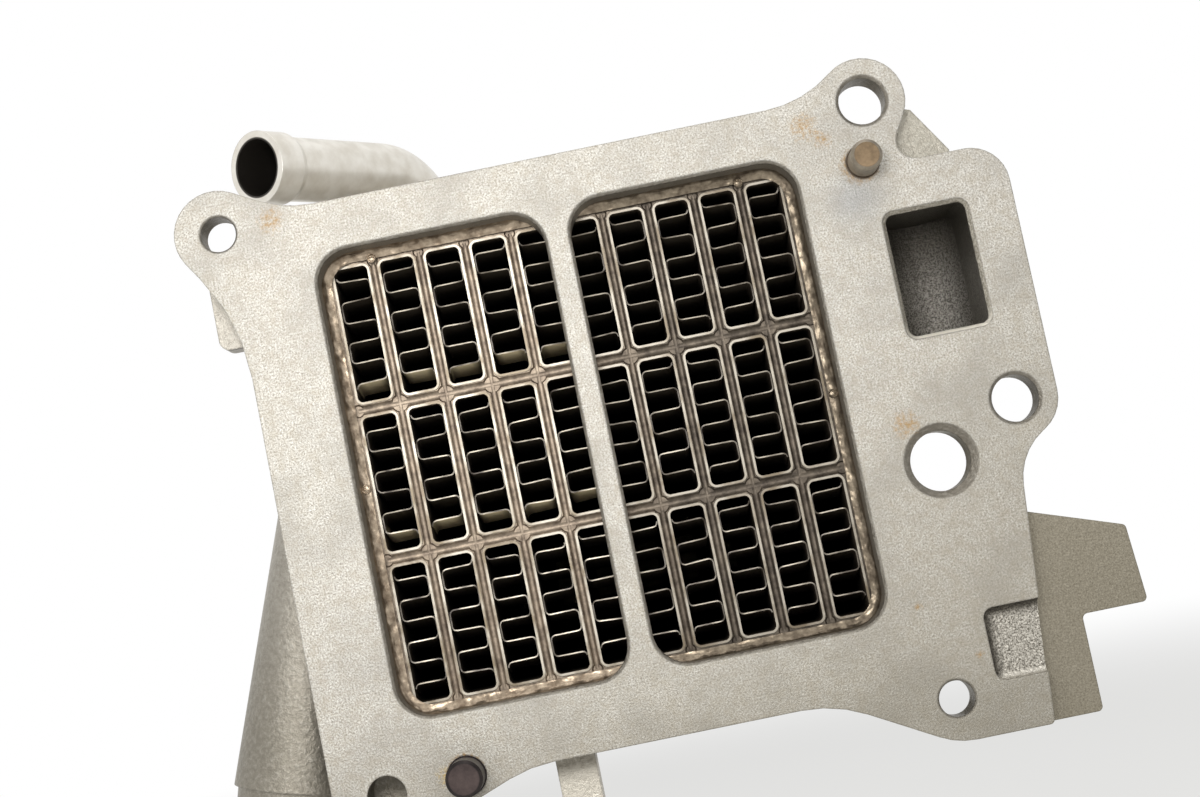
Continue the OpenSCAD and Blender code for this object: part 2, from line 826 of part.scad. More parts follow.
module back_plate(y, depth) {
    difference() {
        slab(y, depth)
            polygon(round_rect(rear_w, rear_h, rear_r));
        for (at = screw_at)
            drill(at, y - slack, depth + 2 * slack, screw_d / 2 + screw_gap, screw_d / 2 + screw_gap);
    }
}

module rear_header() {
    color("#8a7a68")
        translate([0, rear_plate_y1, 0])
            mirror([0, 1, 0])
                header_body()
                    back_plate(0, header_t);
}

module front_gasket() {
    color("#3a3836")
        difference() {
            slab(seat_y, gasket_t)
                polygon(round_rect(cavity_w - 2 * seat_gap, cavity_h - 2 * seat_gap, cavity_r - seat_gap));
            slab(seat_y - slack, gasket_t + 2 * slack)
                polygon(round_rect(2 * win_x, 2 * win_z, window_r));
        }
}

module support_plate() {
    color("#a59c8e")
        difference() {
            slab(support_y, support_t)
                polygon(round_rect(cavity_w - 2 * support_gap, cavity_h - 2 * support_gap, cavity_r));
            tube_slots(support_y - slack, support_t + 2 * slack);
        }
}

// Fins: a folded sheet that zigzags along the flow
fin_y0 = tube_recess + fin_setback;
fin_y1 = tube_y1 - fin_setback;
fin_folds = ceil((fin_y1 - fin_y0) / fin_half_wave);
fin_step = (fin_y1 - fin_y0) / fin_folds;
fin_w = tube_w - 2 * tube_wall - 2 * braze_gap;
fin_reach = tube_h - 2 * (tube_r + fin_end + fin_play) - fin_wave;
fin_pitch = fin_reach / (fin_webs - 1);
fin_top = fin_reach / 2;

// The zigzag as [y, height] points, carried on past both ends by some length
function zig(k) = (k % 2 == 0 ? 0.5 : -0.5) * fin_wave;
function zigzag(past) =
    [for (k = [0:fin_folds])
        let (over = k == 0 ? -past : k == fin_folds ? past : 0)
        [fin_y0 + k * fin_step + over, zig(k) * (1 + 2 * abs(over) / fin_step)]];

// The angle that scatters the fins up and down without repeating
scatter = 137.5;

// A strip of the zigzag between two heights, with its width along X
module ribbon(x0, x1, low, high, past) {
    line = zigzag(past);
    translate([x0, 0, 0])
        rotate([90, 0, 90])
            linear_extrude(x1 - x0)
                polygon(concat(
                    [for (p = line) [p.x, p.y + high]],
                    [for (k = [0:fin_folds]) line[fin_folds - k] + [0, low]]));
}

module fin(r, c) {
    off = fin_play * sin(scatter * (r * columns + c));
    first = (r + c) % 2;
    place([tube_x(c), tube_z(r) + off])
        difference() {
            ribbon(-fin_w / 2, fin_w / 2, -fin_top - fin_end, fin_top + fin_end, 0);
            for (k = [0:fin_webs]) {
                side = (k + first) % 2 == 0 ? 1 : -1;
                high = k == 0 ? fin_top + fin_end + slack : fin_top - (k - 1) * fin_pitch - fin_t / 2;
                low = k == fin_webs ? -fin_top - fin_end - slack : fin_top - k * fin_pitch + fin_t / 2;
                open_x = side * (fin_w / 2 + slack);
                shut_x = -side * (fin_w / 2 - fin_t);
                ribbon(min(open_x, shut_x), max(open_x, shut_x), low, high, slack);
            }
        }
}

module fins_row(r) {
    color("#9a9284")
        for (c = [0:columns - 1])
            fin(r, c);
}

// Back end

module rear_gasket() {
    color("#3a3836")
        difference() {
            back_plate(housing_y1, gasket_t);
            slab(housing_y1 - slack, gasket_t + 2 * slack)
                polygon(round_rect(cavity_w, cavity_h, cavity_r));
        }
}

mouth_w = core_w + 2 * header_border + 2 * seat_gap;
mouth_h = core_h + 2 * header_border + 2 * seat_gap;
mouth_r = collar_r + seat_gap;

module tank_gasket() {
    color("#3a3836")
        difference() {
            back_plate(rear_plate_y1, gasket_t);
            slab(rear_plate_y1 - slack, gasket_t + 2 * slack)
                polygon(round_rect(mouth_w, mouth_h, mouth_r));
        }
}

// The tank's dome from a level y back, grown by the thickness of its sheet
module dome(grow, y) {
    hull() {
        slab(y, tank_y0 + tank_flange_t - y)
            polygon(round_rect(mouth_w + 2 * grow, mouth_h + 2 * grow, mouth_r + grow));
        slab(tank_y0 + tank_depth - tank_lean - tank_wall + grow, eps)
            polygon(round_rect(mouth_w - tank_lean + 2 * grow, mouth_h - tank_lean + 2 * grow, tank_r + grow));
        slab(tank_y0 + tank_depth - tank_wall + grow - eps, eps)
            polygon(round_rect(mouth_w - tank_crown + 2 * grow, mouth_h - tank_crown + 2 * grow, tank_r));
    }
}

module return_tank() {
    color("#a8a296")
        difference() {
            union() {
                back_plate(tank_y0, tank_flange_t);
                dome(tank_wall, tank_y0 + slack);
            }
            dome(0, tank_y0 - slack);
        }
}

module tank_screws() {
    head_y = tank_y0 + tank_flange_t;
    color("#8f8a82")
        for (at = screw_at) {
            drill(at, head_y - screw_len, screw_len + eps, screw_d / 2, screw_d / 2);
            drill(at, head_y, washer_t, washer_r, washer_r);
            translate([at.x, head_y + eps, at.y])
                rotate([-90, 0, 0])
                    cylinder(h = washer_t + screw_head_h, r = hex_r, $fn = 6);
        }
}

housing();
upper_dowel_pin();
lower_dowel_pin();
coolant_pipe();
front_gasket();
front_header();
for (r = [0:rows - 1], c = [0:columns - 1])
    tube(r, c);
for (r = [0:rows - 1])
    fins_row(r);
support_plate();
rear_gasket();
rear_header();
tank_gasket();
return_tank();
tank_screws();
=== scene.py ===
# %% [markdown]
# # Dressing an exhaust gas cooler
# The part is a cast aluminium housing with a milled gasket face. Two windows in that face show the
# open ends of thirty flat tubes, each with a folded fin inside, brazed into a header plate.
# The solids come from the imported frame. This lesson gives them finishes that follow how each piece
# was made, models the fins again with round folds, adds the small brazed details that a furnace
# leaves, and sets up the light and the camera.

import json
import math

import bpy
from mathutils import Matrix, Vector


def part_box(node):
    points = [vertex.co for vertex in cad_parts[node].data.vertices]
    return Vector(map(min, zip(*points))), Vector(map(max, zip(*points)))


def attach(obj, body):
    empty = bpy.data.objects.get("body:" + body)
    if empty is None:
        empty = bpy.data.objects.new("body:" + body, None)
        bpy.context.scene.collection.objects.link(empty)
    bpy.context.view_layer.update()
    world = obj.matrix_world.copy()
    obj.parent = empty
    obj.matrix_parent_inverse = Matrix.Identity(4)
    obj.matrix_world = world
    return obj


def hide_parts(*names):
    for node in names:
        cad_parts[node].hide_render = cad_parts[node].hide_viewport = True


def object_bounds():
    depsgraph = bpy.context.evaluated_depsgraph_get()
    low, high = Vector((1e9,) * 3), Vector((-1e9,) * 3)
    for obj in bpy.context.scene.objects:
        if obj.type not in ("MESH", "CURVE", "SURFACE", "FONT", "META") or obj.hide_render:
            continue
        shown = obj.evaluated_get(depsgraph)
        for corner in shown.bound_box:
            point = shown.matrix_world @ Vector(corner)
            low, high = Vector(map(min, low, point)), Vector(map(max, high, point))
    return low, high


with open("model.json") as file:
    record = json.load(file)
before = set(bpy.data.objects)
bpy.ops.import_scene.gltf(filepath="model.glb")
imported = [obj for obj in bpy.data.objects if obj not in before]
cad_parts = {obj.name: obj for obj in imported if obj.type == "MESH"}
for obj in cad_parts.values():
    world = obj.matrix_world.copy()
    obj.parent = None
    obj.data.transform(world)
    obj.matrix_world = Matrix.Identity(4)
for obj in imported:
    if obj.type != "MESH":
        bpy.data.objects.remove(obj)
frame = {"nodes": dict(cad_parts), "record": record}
nodes = frame["nodes"]
cad_low, cad_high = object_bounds()
print("CAD nodes:", len(nodes))

# %% [markdown]
# ## Places on the part
# Much below is placed from the frame itself, so those finishes stay in register with the solids.
# The tube ends give the spacing of the bundle, the header gives the size of the windows, and the
# mounts in the record give the places of the coolant port, the main bolt and the pipe's hose end.

# %% Measure the part
MM = 0.001
ROWS, COLUMNS = 3, 10
SEAT = 2.2 * MM  # how far the header reaches past the edge of the windows
FLANGE = 7 * MM  # thickness of the flange
tube_names = [f"tube_{r}_{c}" for r in range(1, ROWS + 1) for c in range(1, COLUMNS + 1)]
fin_names = [f"fins_row_{r}" for r in range(1, ROWS + 1)]
tube_low, tube_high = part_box("tube_1_1")
fin_low, fin_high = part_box("fins_row_1")
pitch_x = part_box("tube_1_2")[0].x - tube_low.x
pitch_z = tube_low.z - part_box("tube_2_1")[0].z
header_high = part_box("front_header")[1]
window_x, window_z = header_high.x - SEAT, header_high.z - SEAT
mounts = {mount["name"]: mount for mount in frame["record"]["mounts"]}
port = Vector(mounts["coolant_port"]["pos_m"])
main_bolt = Vector(mounts["main_bolt"]["pos_m"])


def middle(name):
    """The middle of a node's box."""
    low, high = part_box(name)
    return (low + high) / 2


upper_pin, lower_pin = middle("upper_dowel_pin"), middle("lower_dowel_pin")
print(f"tube pitch {pitch_x / MM:.2f} x {pitch_z / MM:.2f} mm, ends at {tube_low.y / MM:.1f} mm")
print(f"windows reach {window_x / MM:.1f} mm sideways and {window_z / MM:.1f} mm up and down")

# %% [markdown]
# ## Small helpers
# Colours are written as the sRGB hex values that a picture shows, and one function turns them into
# the linear values that shaders use. Another adds a node with its settings and links, so that a
# material below reads from top to bottom like a recipe.

# %% Helpers for materials
def linear(hex_colour):
    """The linear RGBA of an sRGB hex colour."""
    parts = [int(hex_colour[i:i + 2], 16) / 255 for i in (1, 3, 5)]
    return [p / 12.92 if p <= 0.04045 else ((p + 0.055) / 1.055) ** 2.4 for p in parts] + [1.0]


def add(tree, kind, inputs=None, out=0, **settings):
    """Adds a node and returns one of its outputs, or all of them where out is None.

    Each input is a value, a hex colour or the output of another node."""
    node = tree.nodes.new("ShaderNode" + kind)
    for name, value in settings.items():
        setattr(node, name, value)
    for key, value in (inputs or {}).items():
        if isinstance(value, bpy.types.NodeSocket):
            tree.links.new(value, node.inputs[key])
        else:
            node.inputs[key].default_value = linear(value) if isinstance(value, str) else value
    return node.outputs if out is None else node.outputs[out]


def new_material(name):
    """An empty material, its node tree and the object coordinates that its patterns lie in."""
    material = bpy.data.materials.new(name)
    material.use_nodes = True
    tree = material.node_tree
    tree.nodes.clear()
    return material, tree, add(tree, "TexCoord", out="Object")


def finish_metal(tree, sockets):
    """Ends a metal with one shader, given by its sockets, that is joined to the material's output."""
    shader = add(tree, "BsdfPrincipled", sockets)
    add(tree, "OutputMaterial", {"Surface": shader}, None)


def per_mm(size_mm):
    """The noise scale whose grains are about this many millimetres across."""
    return 1 / (size_mm * MM)


def dress(material, *names):
    """Gives CAD nodes one material all over."""
    for name in names:
        nodes[name].data.materials.clear()
        nodes[name].data.materials.append(material)
    print(material.name, "on", len(names), "node(s)")


print("mid grey #808080 is", round(linear("#808080")[0], 3), "in linear light")

# %% [markdown]
# Three recipes are used again and again. A box mask is 1 inside a box and 0 outside it. A spot is 1
# near a point of the face and fades out round it, with an uneven edge from noise. Paint lays colours
# over each other, as dirt and wear do on the part.

# %% Masks and layers
def box_mask(tree, where, centre, half, soft):
    """1 inside a box, given by its middle and half its sides, fading to 0 over a soft edge."""
    offset = add(tree, "VectorMath", {0: where, 1: centre}, operation="SUBTRACT")
    size = add(tree, "VectorMath", {0: offset}, operation="ABSOLUTE")
    beyond = add(tree, "VectorMath", {0: size, 1: half}, operation="SUBTRACT")
    x, y, z = add(tree, "SeparateXYZ", {0: beyond}, None)
    widest = add(tree, "Math", {0: x, 1: y}, operation="MAXIMUM")
    widest = add(tree, "Math", {0: widest, 1: z}, operation="MAXIMUM")
    return add(tree, "MapRange", {0: widest, 1: 0.0, 2: soft, 3: 1.0, 4: 0.0})


def spot_mask(tree, where, uneven, x, z, core, reach):
    """1 within a core round a point of the face, torn by noise out to its reach."""
    flat = add(tree, "VectorMath", {0: where, 1: (1, 0, 1)}, operation="MULTIPLY")
    far = add(tree, "VectorMath", {0: flat, 1: (x, 0, z)}, "Value", operation="DISTANCE")
    near = add(tree, "MapRange", {0: far, 1: core, 2: reach, 3: 1.0, 4: 0.0})
    torn = add(tree, "Math", {0: near, 1: uneven}, operation="MULTIPLY")
    return add(tree, "MapRange", {0: torn, 1: 0.2, 2: 0.6})


def paint(tree, colour, *layers):
    """Lays colours over a colour. Each layer is a mask and the colour that shows where it is 1."""
    for mask, over in layers:
        colour = add(tree, "Mix", {0: mask, 6: colour, 7: over}, 2, data_type="RGBA")
    return colour


print("a grain of 2 mm has a noise scale of", round(per_mm(2)))

# %% [markdown]
# ## The housing
# The housing is sand-cast aluminium, so most of it has a grainy, brownish skin. The gasket face was
# milled flat afterwards and is paler and finer, with a mottled grain, faint clouds and a few rubbed
# scratches. That could be two materials on two sets of faces, but it is one casting, and one material
# with a mask on the depth below the face lets the two run into each other at a worn edge.
# Its noises come first, each at the size that it has on the casting.

# %% Grains of the casting
# Sand-cast aluminium is a dull grey that looks rough where the sand lay and silky where it was milled
cast_aluminium, tree, where = new_material("sand_cast_aluminium")
sand = add(tree, "TexNoise", {"Vector": where, "Scale": per_mm(0.9), "Detail": 4.0, "Roughness": 0.7})
stain = add(tree, "TexNoise", {"Vector": where, "Scale": per_mm(14), "Detail": 3.0})
clouds = add(tree, "TexNoise", {"Vector": where, "Scale": per_mm(13), "Detail": 4.0})
mottle = add(tree, "TexNoise",
             {"Vector": where, "Scale": per_mm(2.2), "Detail": 4.0, "Roughness": 0.65})
# The real milled grain is too fine to show, so it is drawn coarser than it is
grain = add(tree, "TexNoise", {"Vector": where, "Scale": per_mm(0.36), "Detail": 3.0, "Roughness": 0.7})
fine = add(tree, "MapRange", {0: grain, 1: 0.32, 2: 0.68})
grit = add(tree, "MapRange", {0: grain, 1: 0.38, 2: 0.62})
print("the casting's noises have", len(tree.nodes), "nodes")

# %% [markdown]
# The next masks say where on the casting a point is: on the milled face, on the broken edge just below
# it, on the wall of the flange, low down, or out at the lower right bracket. The normal tells a wall
# from a face, and the walls get painted shade. The countersink of the main bolt is cut metal, so it
# counts less as a wall.

# %% Zones of the casting
_, depth, up = add(tree, "SeparateXYZ", {0: where}, None)
facing = add(tree, "SeparateXYZ", {0: add(tree, "NewGeometry", out="Normal")}, "Y")
milled = add(tree, "MapRange", {0: depth, 1: 0.05 * MM, 2: 0.3 * MM, 3: 1.0, 4: 0.0})
broken = add(tree, "MapRange", {0: depth, 1: 1.6 * MM, 2: 2.4 * MM, 3: 1.0, 4: 0.0})
shallow = add(tree, "MapRange", {0: depth, 1: 4.0 * MM, 2: 4.6 * MM, 3: 1.0, 4: 0.0})
flange = add(tree, "MapRange", {0: depth, 1: FLANGE, 2: FLANGE + 0.5 * MM, 3: 0.85, 4: 0.0})
from_bolt = add(tree, "VectorMath", {0: where, 1: main_bolt}, "Value", operation="DISTANCE")
countersunk = add(tree, "MapRange", {0: from_bolt, 1: 8 * MM, 2: 8.5 * MM, 3: 0.3, 4: 1.0})
# Walls of the flange that face sideways are painted darker, as painted shade
edgewise = add(tree, "MapRange", {0: facing, 1: -0.65, 2: -0.35})
edgewise = add(tree, "Math", {0: edgewise, 1: flange}, operation="MULTIPLY")
edgewise = add(tree, "Math", {0: edgewise, 1: countersunk}, operation="MULTIPLY")
low = add(tree, "MapRange", {0: up, 1: 5 * MM, 2: -40 * MM})
toward_bracket = add(tree, "VectorMath", {0: where, 1: (0.8, 0, -0.6)}, "Value", operation="DOT_PRODUCT")
toward_bracket = add(tree, "MapRange", {0: toward_bracket, 1: 45 * MM, 2: 80 * MM})
print("with the zones it has", len(tree.nodes))

# %% [markdown]
# The cast skin is darker lower down, and darker and browner at the lower right bracket, where its
# grain is smoother; at the bracket this is partly its own tone and partly painted shade. Sand grains
# stand out of it, paler on top and dark between.

# %% Cast skin
LEG_AT, LEG_HALF = Vector((-16.8, 14, -71)) * MM, Vector((4.4, 5.4, 9.5)) * MM
leg = box_mask(tree, where, LEG_AT, LEG_HALF, 1.5 * MM)
pale_grain = add(tree, "MapRange", {0: sand, 1: 0.5, 2: 0.72, 3: 0.0, 4: 0.35})
dark_grain = add(tree, "MapRange", {0: sand, 1: 0.3, 2: 0.5, 3: 0.3, 4: 0.0})
behind = add(tree, "MapRange", {0: shallow, 3: 0.8, 4: 0.0})
front_on = add(tree, "MapRange", {0: edgewise, 2: 0.85, 3: 1.0, 4: 0.0})
filled = add(tree, "Math", {0: toward_bracket, 1: behind}, operation="MULTIPLY")
filled = add(tree, "Math", {0: filled, 1: front_on}, operation="MULTIPLY")
skin = paint(tree, "#9E988D", (stain, "#B3AEA4"))
# The skin is darker lower down, and darker and browner towards the bracket, there partly as painted
# shade
skin = paint(tree, skin,
             (low, paint(tree, "#7C776B", (stain, "#989286"))),
             (toward_bracket, paint(tree, "#726B5E", (stain, "#8C867A"))),
             (leg, paint(tree, "#A8A296", (stain, "#C4BEB1"))),
             # Near the face the skin is painted paler, as painted light, and the walls darker, as
             # painted shade
             (shallow, "#9E998D"), (broken, "#8B857A"), (edgewise, "#676155"),
             (pale_grain, "#BEBAB0"), (dark_grain, "#544D42"),
             (filled, paint(tree, "#6C6556", (fine, "#9A9382"))))
print("with the cast skin it has", len(tree.nodes))

# %% [markdown]
# The milled face has a fine grain, a mottle of about two millimetres and broad clouds. The scratches
# are noise drawn out along one direction, and they show only in patches. Painted shade darkens the
# lowest edge, and more painted shade makes the lower right darker and warmer.

# %% Milled face
mottled = add(tree, "MapRange", {0: mottle, 1: 0.42, 2: 0.66, 3: 0.0, 4: 0.55})
clouded = add(tree, "MapRange", {0: clouds, 1: 0.42, 2: 0.66, 3: 0.0, 4: 0.5})
streaks = add(tree, "Mapping", {"Vector": where, "Rotation": (0, 0.5, 0), "Scale": (0.08, 1, 1)})
scratch = add(tree, "TexNoise", {"Vector": streaks, "Scale": per_mm(0.5), "Detail": 2.0})
thin = add(tree, "MapRange", {0: scratch, 1: 0.65, 2: 0.74, 3: 0.0, 4: 0.4})
rubbed = add(tree, "Math", {0: thin, 1: clouds}, operation="MULTIPLY")
# Painted shade along the lowest edge of the face and over its lower right
painted_bottom_shade = add(tree, "MapRange", {0: up, 1: -50 * MM, 2: -63 * MM, 3: 0.0, 4: 0.3})
painted_lower_right_shade = add(tree, "VectorMath", {0: where, 1: (0.45, 0, -0.9)}, "Value", operation="DOT_PRODUCT")
painted_lower_right_shade = add(tree, "MapRange", {0: painted_lower_right_shade, 1: 10 * MM, 2: 70 * MM, 3: 0.0, 4: 0.35})
face = paint(tree, "#7F796F", (fine, "#D3D0C8"), (mottled, "#9C9485"), (clouded, "#928E86"),
             (rubbed, "#CFCDC6"), (painted_bottom_shade, "#6F6A5F"), (painted_lower_right_shade, "#7B7463"))
colour = paint(tree, skin, (milled, face))
print("with the milled face it has", len(tree.nodes))

# %% [markdown]
# The small pocket at the bracket was left as cast and gritty, with painted shade along its top and
# left walls and a painted highlight on the lip below. Heat has browned the walls of the gas windows.
# The coolant port is dark inside, with painted shade that makes it darkest at the top, and its broken
# rim is pale, with a painted highlight along the bottom.

# %% Pocket, windows and port
POCKET_AT, POCKET_HALF = Vector((75, 1.7, -53.2)) * MM, Vector((11.2, 1.2, 7)) * MM
OPEN_AT, OPEN_HALF = Vector((80, 0, -55.5)) * MM, Vector((13.6, 1000, 6.6)) * MM
HOT_AT, HOT_HALF = (0, 7.4 * MM, 0), (window_x + 1.6 * MM, 6 * MM, window_z + 1.6 * MM)
PORT_AT, PORT_HALF = port + Vector((0, 13.6 * MM, 0)), Vector((8.6, 12.4, 12.8)) * MM
RIM_AT, RIM_HALF = port + Vector((0, 0.8 * MM, 0)), Vector((9.6, 0.5, 13.8)) * MM
pocket = box_mask(tree, where, POCKET_AT, POCKET_HALF, 0.2 * MM)
open_side = box_mask(tree, where, OPEN_AT, OPEN_HALF, 1.6 * MM)
# The bottom lip of the pocket gets a painted highlight
lip = add(tree, "MapRange", {0: up, 1: -58.9 * MM, 2: -59.7 * MM})
# The pocket is painted dark along its top and left walls as painted shade, paler on its open side
pocket_grit_and_light = paint(tree, "#35312B", (grit, "#6A655B"))
pocket_grit_and_light = paint(tree, pocket_grit_and_light, (open_side, paint(tree, "#5A554C", (grit, "#BFBAAF"))), (lip, "#C4BFB4"))
hot = box_mask(tree, where, HOT_AT, HOT_HALF, 0.5 * MM)
browned = paint(tree, "#7B746A", (sand, "#A39C90"))
rim = box_mask(tree, where, RIM_AT, RIM_HALF, 0.15 * MM)
# A painted highlight along the bottom of the port's rim
below = add(tree, "MapRange", {0: up, 1: port.z - 9 * MM, 2: port.z - 12.2 * MM})
rim_tone = paint(tree, paint(tree, "#8C8679", (grit, "#B4AEA1")), (below, "#E0DACC"))
inner = add(tree, "MapRange", {0: facing, 1: 0.3, 2: 0.6, 3: 1.0, 4: 0.0})
wet = box_mask(tree, where, PORT_AT, PORT_HALF, 0.4 * MM)
wet = add(tree, "Math", {0: wet, 1: inner}, operation="MULTIPLY")
# Painted shade inside the port, darkest at the top
painted_port_shade = add(tree, "MapRange", {0: up, 1: port.z - 4 * MM, 2: port.z + 9 * MM},
             interpolation_type="SMOOTHSTEP")
scale = paint(tree, "#4F4B44", (grit, "#A5A097"))
scale = paint(tree, scale, (painted_port_shade, paint(tree, "#3D3932", (grit, "#68635A"))))
colour = paint(tree, colour, (pocket, pocket_grit_and_light), (hot, browned), (rim, rim_tone), (wet, scale))
print("with the pocket, windows and port it has", len(tree.nodes))

# %% [markdown]
# Rust has run from the pins and from where damp washers have lain, and it is yellow beside the lower
# pin. A soft grey painted shadow lies below the upper pin. The stains are spots in millimetres across
# the face, each with a core and a reach, and they stay near the face.

# %% Rust on the face
RUST, OCHRE = "#96712F", "#A98F4E"
up_x, up_z, low_x, low_z = (v / MM for v in (upper_pin.x, upper_pin.z, lower_pin.x, lower_pin.z))
stains = [(up_x - 0.8, up_z - 0.6, 3.0, 4.8, RUST), (50.5, 50.5, 0.5, 5.0, RUST),
          (53.5, 47.5, 0.2, 3.4, RUST), (57.5, -9.5, 0.8, 4.6, RUST), (-53.5, 53.5, 0.4, 4.6, RUST),
          (62.0, -54.5, 0.1, 1.6, RUST), (52.5, -43.5, 0.1, 1.6, RUST),
          (low_x, low_z + 0.4, 3.3, 4.6, RUST), (low_x - 3.6, low_z + 0.6, 0.8, 3.6, OCHRE)]
torn = add(tree, "TexNoise", {"Vector": where, "Scale": per_mm(0.9), "Detail": 5.0, "Roughness": 0.75})
torn = add(tree, "MapRange", {0: torn, 1: 0.32, 2: 0.72})
near_face = add(tree, "Math", {0: shallow, 1: 0.65}, operation="MULTIPLY")
for x, z, core, reach, tint in stains:
    stained = spot_mask(tree, where, torn, x * MM, z * MM, core * MM, reach * MM)
    stained = add(tree, "Math", {0: stained, 1: near_face}, operation="MULTIPLY")
    colour = paint(tree, colour, (stained, tint))
# A painted shadow below the upper pin
pin_shadow_at = (upper_pin.x - 3 * MM, 0, upper_pin.z - 6.5 * MM)
far = add(tree, "VectorMath", {0: where, 1: pin_shadow_at}, "Value", operation="DISTANCE")
painted_pin_shadow = add(tree, "MapRange", {0: far, 1: 0.0, 2: 8 * MM, 3: 0.5, 4: 0.0},
            interpolation_type="SMOOTHSTEP")
colour = paint(tree, colour, (painted_pin_shadow, "#8B8D8F"))
print(len(stains), "rust stains")

# %% [markdown]
# The cast skin is glossier on the tops of its grains than the milled face, and the port smoother
# still. The relief is strong on the skin, fine on the face, and low on the front of the lower right
# bracket.
# A Bevel node rounds the edges in the light alone, because the solid's mesh stays as it is.

# %% Gloss and relief of the casting
roughness = add(tree, "MapRange", {0: milled, 3: 0.44, 4: 0.54})
roughness = add(tree, "Mix", {0: wet, 2: roughness, 3: 0.34})
metallic = add(tree, "MapRange", {0: wet, 3: 0.8, 4: 0.6})
height = add(tree, "Mix", {0: milled, 2: sand, 3: grain})
height = add(tree, "Mix", {0: wet, 2: height, 3: grain})
relief = add(tree, "MapRange", {0: milled, 3: 1.0, 4: 0.5})
relief = add(tree, "Mix", {0: filled, 2: relief, 3: 0.2})
soft_edge = add(tree, "Bevel", {"Radius": 0.45 * MM}, samples=4)
bump = add(tree, "Bump", {"Height": height, "Strength": relief, "Distance": 0.25 * MM,
                          "Normal": soft_edge})
finish_metal(tree, {"Base Color": colour, "Metallic": metallic, "Roughness": roughness, "Normal": bump})
dress(cast_aluminium, "housing")

# %% [markdown]
# ## The header plate
# The header was pressed from stainless sheet and went through the brazing furnace, which left it
# brown and blotchy. The half in the right window is darker. Blotches could be painted by hand, but
# noise at their real size gives them everywhere at once.

# %% Furnace-browned stainless
# It shows as a half-bright brown with darker blotches, and lumps where braze has flowed over it
browned_stainless, tree, where = new_material("furnace_browned_stainless")
across = add(tree, "SeparateXYZ", {0: where}, "X")
blotches = add(tree, "TexNoise",
               {"Vector": where, "Scale": per_mm(2.2), "Detail": 4.0, "Roughness": 0.65})
lumps = add(tree, "TexNoise", {"Vector": where, "Scale": per_mm(1.4), "Detail": 2.0})
blotchy = add(tree, "MapRange", {0: blotches, 1: 0.35, 2: 0.65})
# Darker in the right window
right_window = add(tree, "MapRange", {0: across, 1: -8 * MM, 2: 14 * MM, 3: 0.0, 4: 0.75})
brown = paint(tree, "#62564A", (blotchy, "#948675"))
brown = paint(tree, brown, (right_window, paint(tree, "#24201B", (blotchy, "#4D463D"))))
bump = add(tree, "Bump", {"Height": lumps, "Strength": 0.3, "Distance": 0.3 * MM})
finish_metal(tree, {"Base Color": brown, "Metallic": 0.7, "Roughness": 0.46, "Normal": bump})
dress(browned_stainless, "front_header", "rear_header", "support_plate")

# %% [markdown]
# ## Tubes and fins
# The sawn ends of the tubes and fins are bright metal, and everything further in is dark with soot.
# The ends are the only faces that look straight out of the window, so the normal finds them. The soot
# is painted darker with depth, as painted shade. In the upper two rows of the left window the lowest
# fold gets a painted glint, and the ends of the fins are darker where they fold against the tube.

# %% Sooty stainless with bright ends
def sooty_stainless(name, front, bright, worn, lip, painted_glints=()):
    """Stainless sheet: a bright, scuffed cut at the front, and dull black soot behind it."""
    material, tree, where = new_material(name)
    x, y, _ = add(tree, "SeparateXYZ", {0: where}, None)
    facing = add(tree, "SeparateXYZ", {0: add(tree, "NewGeometry", out="Normal")}, "Y")
    outward = add(tree, "MapRange", {0: facing, 1: -0.95, 2: -0.6, 3: 1.0, 4: 0.0})
    at_end = add(tree, "MapRange", {0: y, 1: front + 0.8 * MM, 2: front + 1.2 * MM, 3: 1.0, 4: 0.0})
    sawn = add(tree, "Math", {0: outward, 1: at_end}, operation="MULTIPLY")
    uneven = add(tree, "TexNoise", {"Vector": where, "Scale": per_mm(5), "Detail": 5.0})
    scuffed = add(tree, "MapRange", {0: uneven, 1: 0.42, 2: 0.64})
    # The ends are darker in the right window
    darker_right_ends = add(tree, "MapRange", {0: x, 1: -4 * MM, 2: 8 * MM, 3: 0.0, 4: 0.35})
    ends = paint(tree, bright, (scuffed, worn), (darker_right_ends, "#5F5547"))
    # The soot is painted darker with depth, as painted shade inside the tubes
    deep = add(tree, "MapRange", {0: y, 1: front, 2: front + 7 * MM}, interpolation_type="SMOOTHSTEP")
    colour = paint(tree, lip, (deep, "#26211C"))
    shine = 0.45
    # A painted glint: the lowest fold is painted pale and less metallic, fading towards the tube's
    # sides
    if painted_glints:
        # How far a point lies from the middle of its tube, in every column alike
        within = add(tree, "Math", {0: x, 1: pitch_x, 2: 0.0}, operation="WRAP")
        within = add(tree, "Math", {0: within, 1: pitch_x / 2}, operation="SUBTRACT")
        within = add(tree, "Math", {0: within}, operation="ABSOLUTE")
        central = add(tree, "MapRange", {0: within, 1: 1.4 * MM, 2: 3.2 * MM, 3: 1.0, 4: 0.25})
        for centre, half in painted_glints:
            glint = box_mask(tree, where, centre, half, 1.2 * MM)
            glint = add(tree, "Math", {0: glint, 1: central}, operation="MULTIPLY")
            colour = paint(tree, colour, (glint, "#FFEBBE"))
            shine = add(tree, "Mix", {0: glint, 2: shine, 3: 0.1})
        folded = add(tree, "MapRange", {0: within, 1: 2.0 * MM, 2: 3.0 * MM, 3: 0.0, 4: 0.8})
        ends = paint(tree, ends, (folded, "#3E362D"))
    colour = paint(tree, colour, (sawn, ends))
    metallic = add(tree, "Mix", {0: sawn, 2: shine, 3: 0.25})
    finish_metal(tree, {"Base Color": colour, "Metallic": metallic, "Roughness": 0.4})
    return material


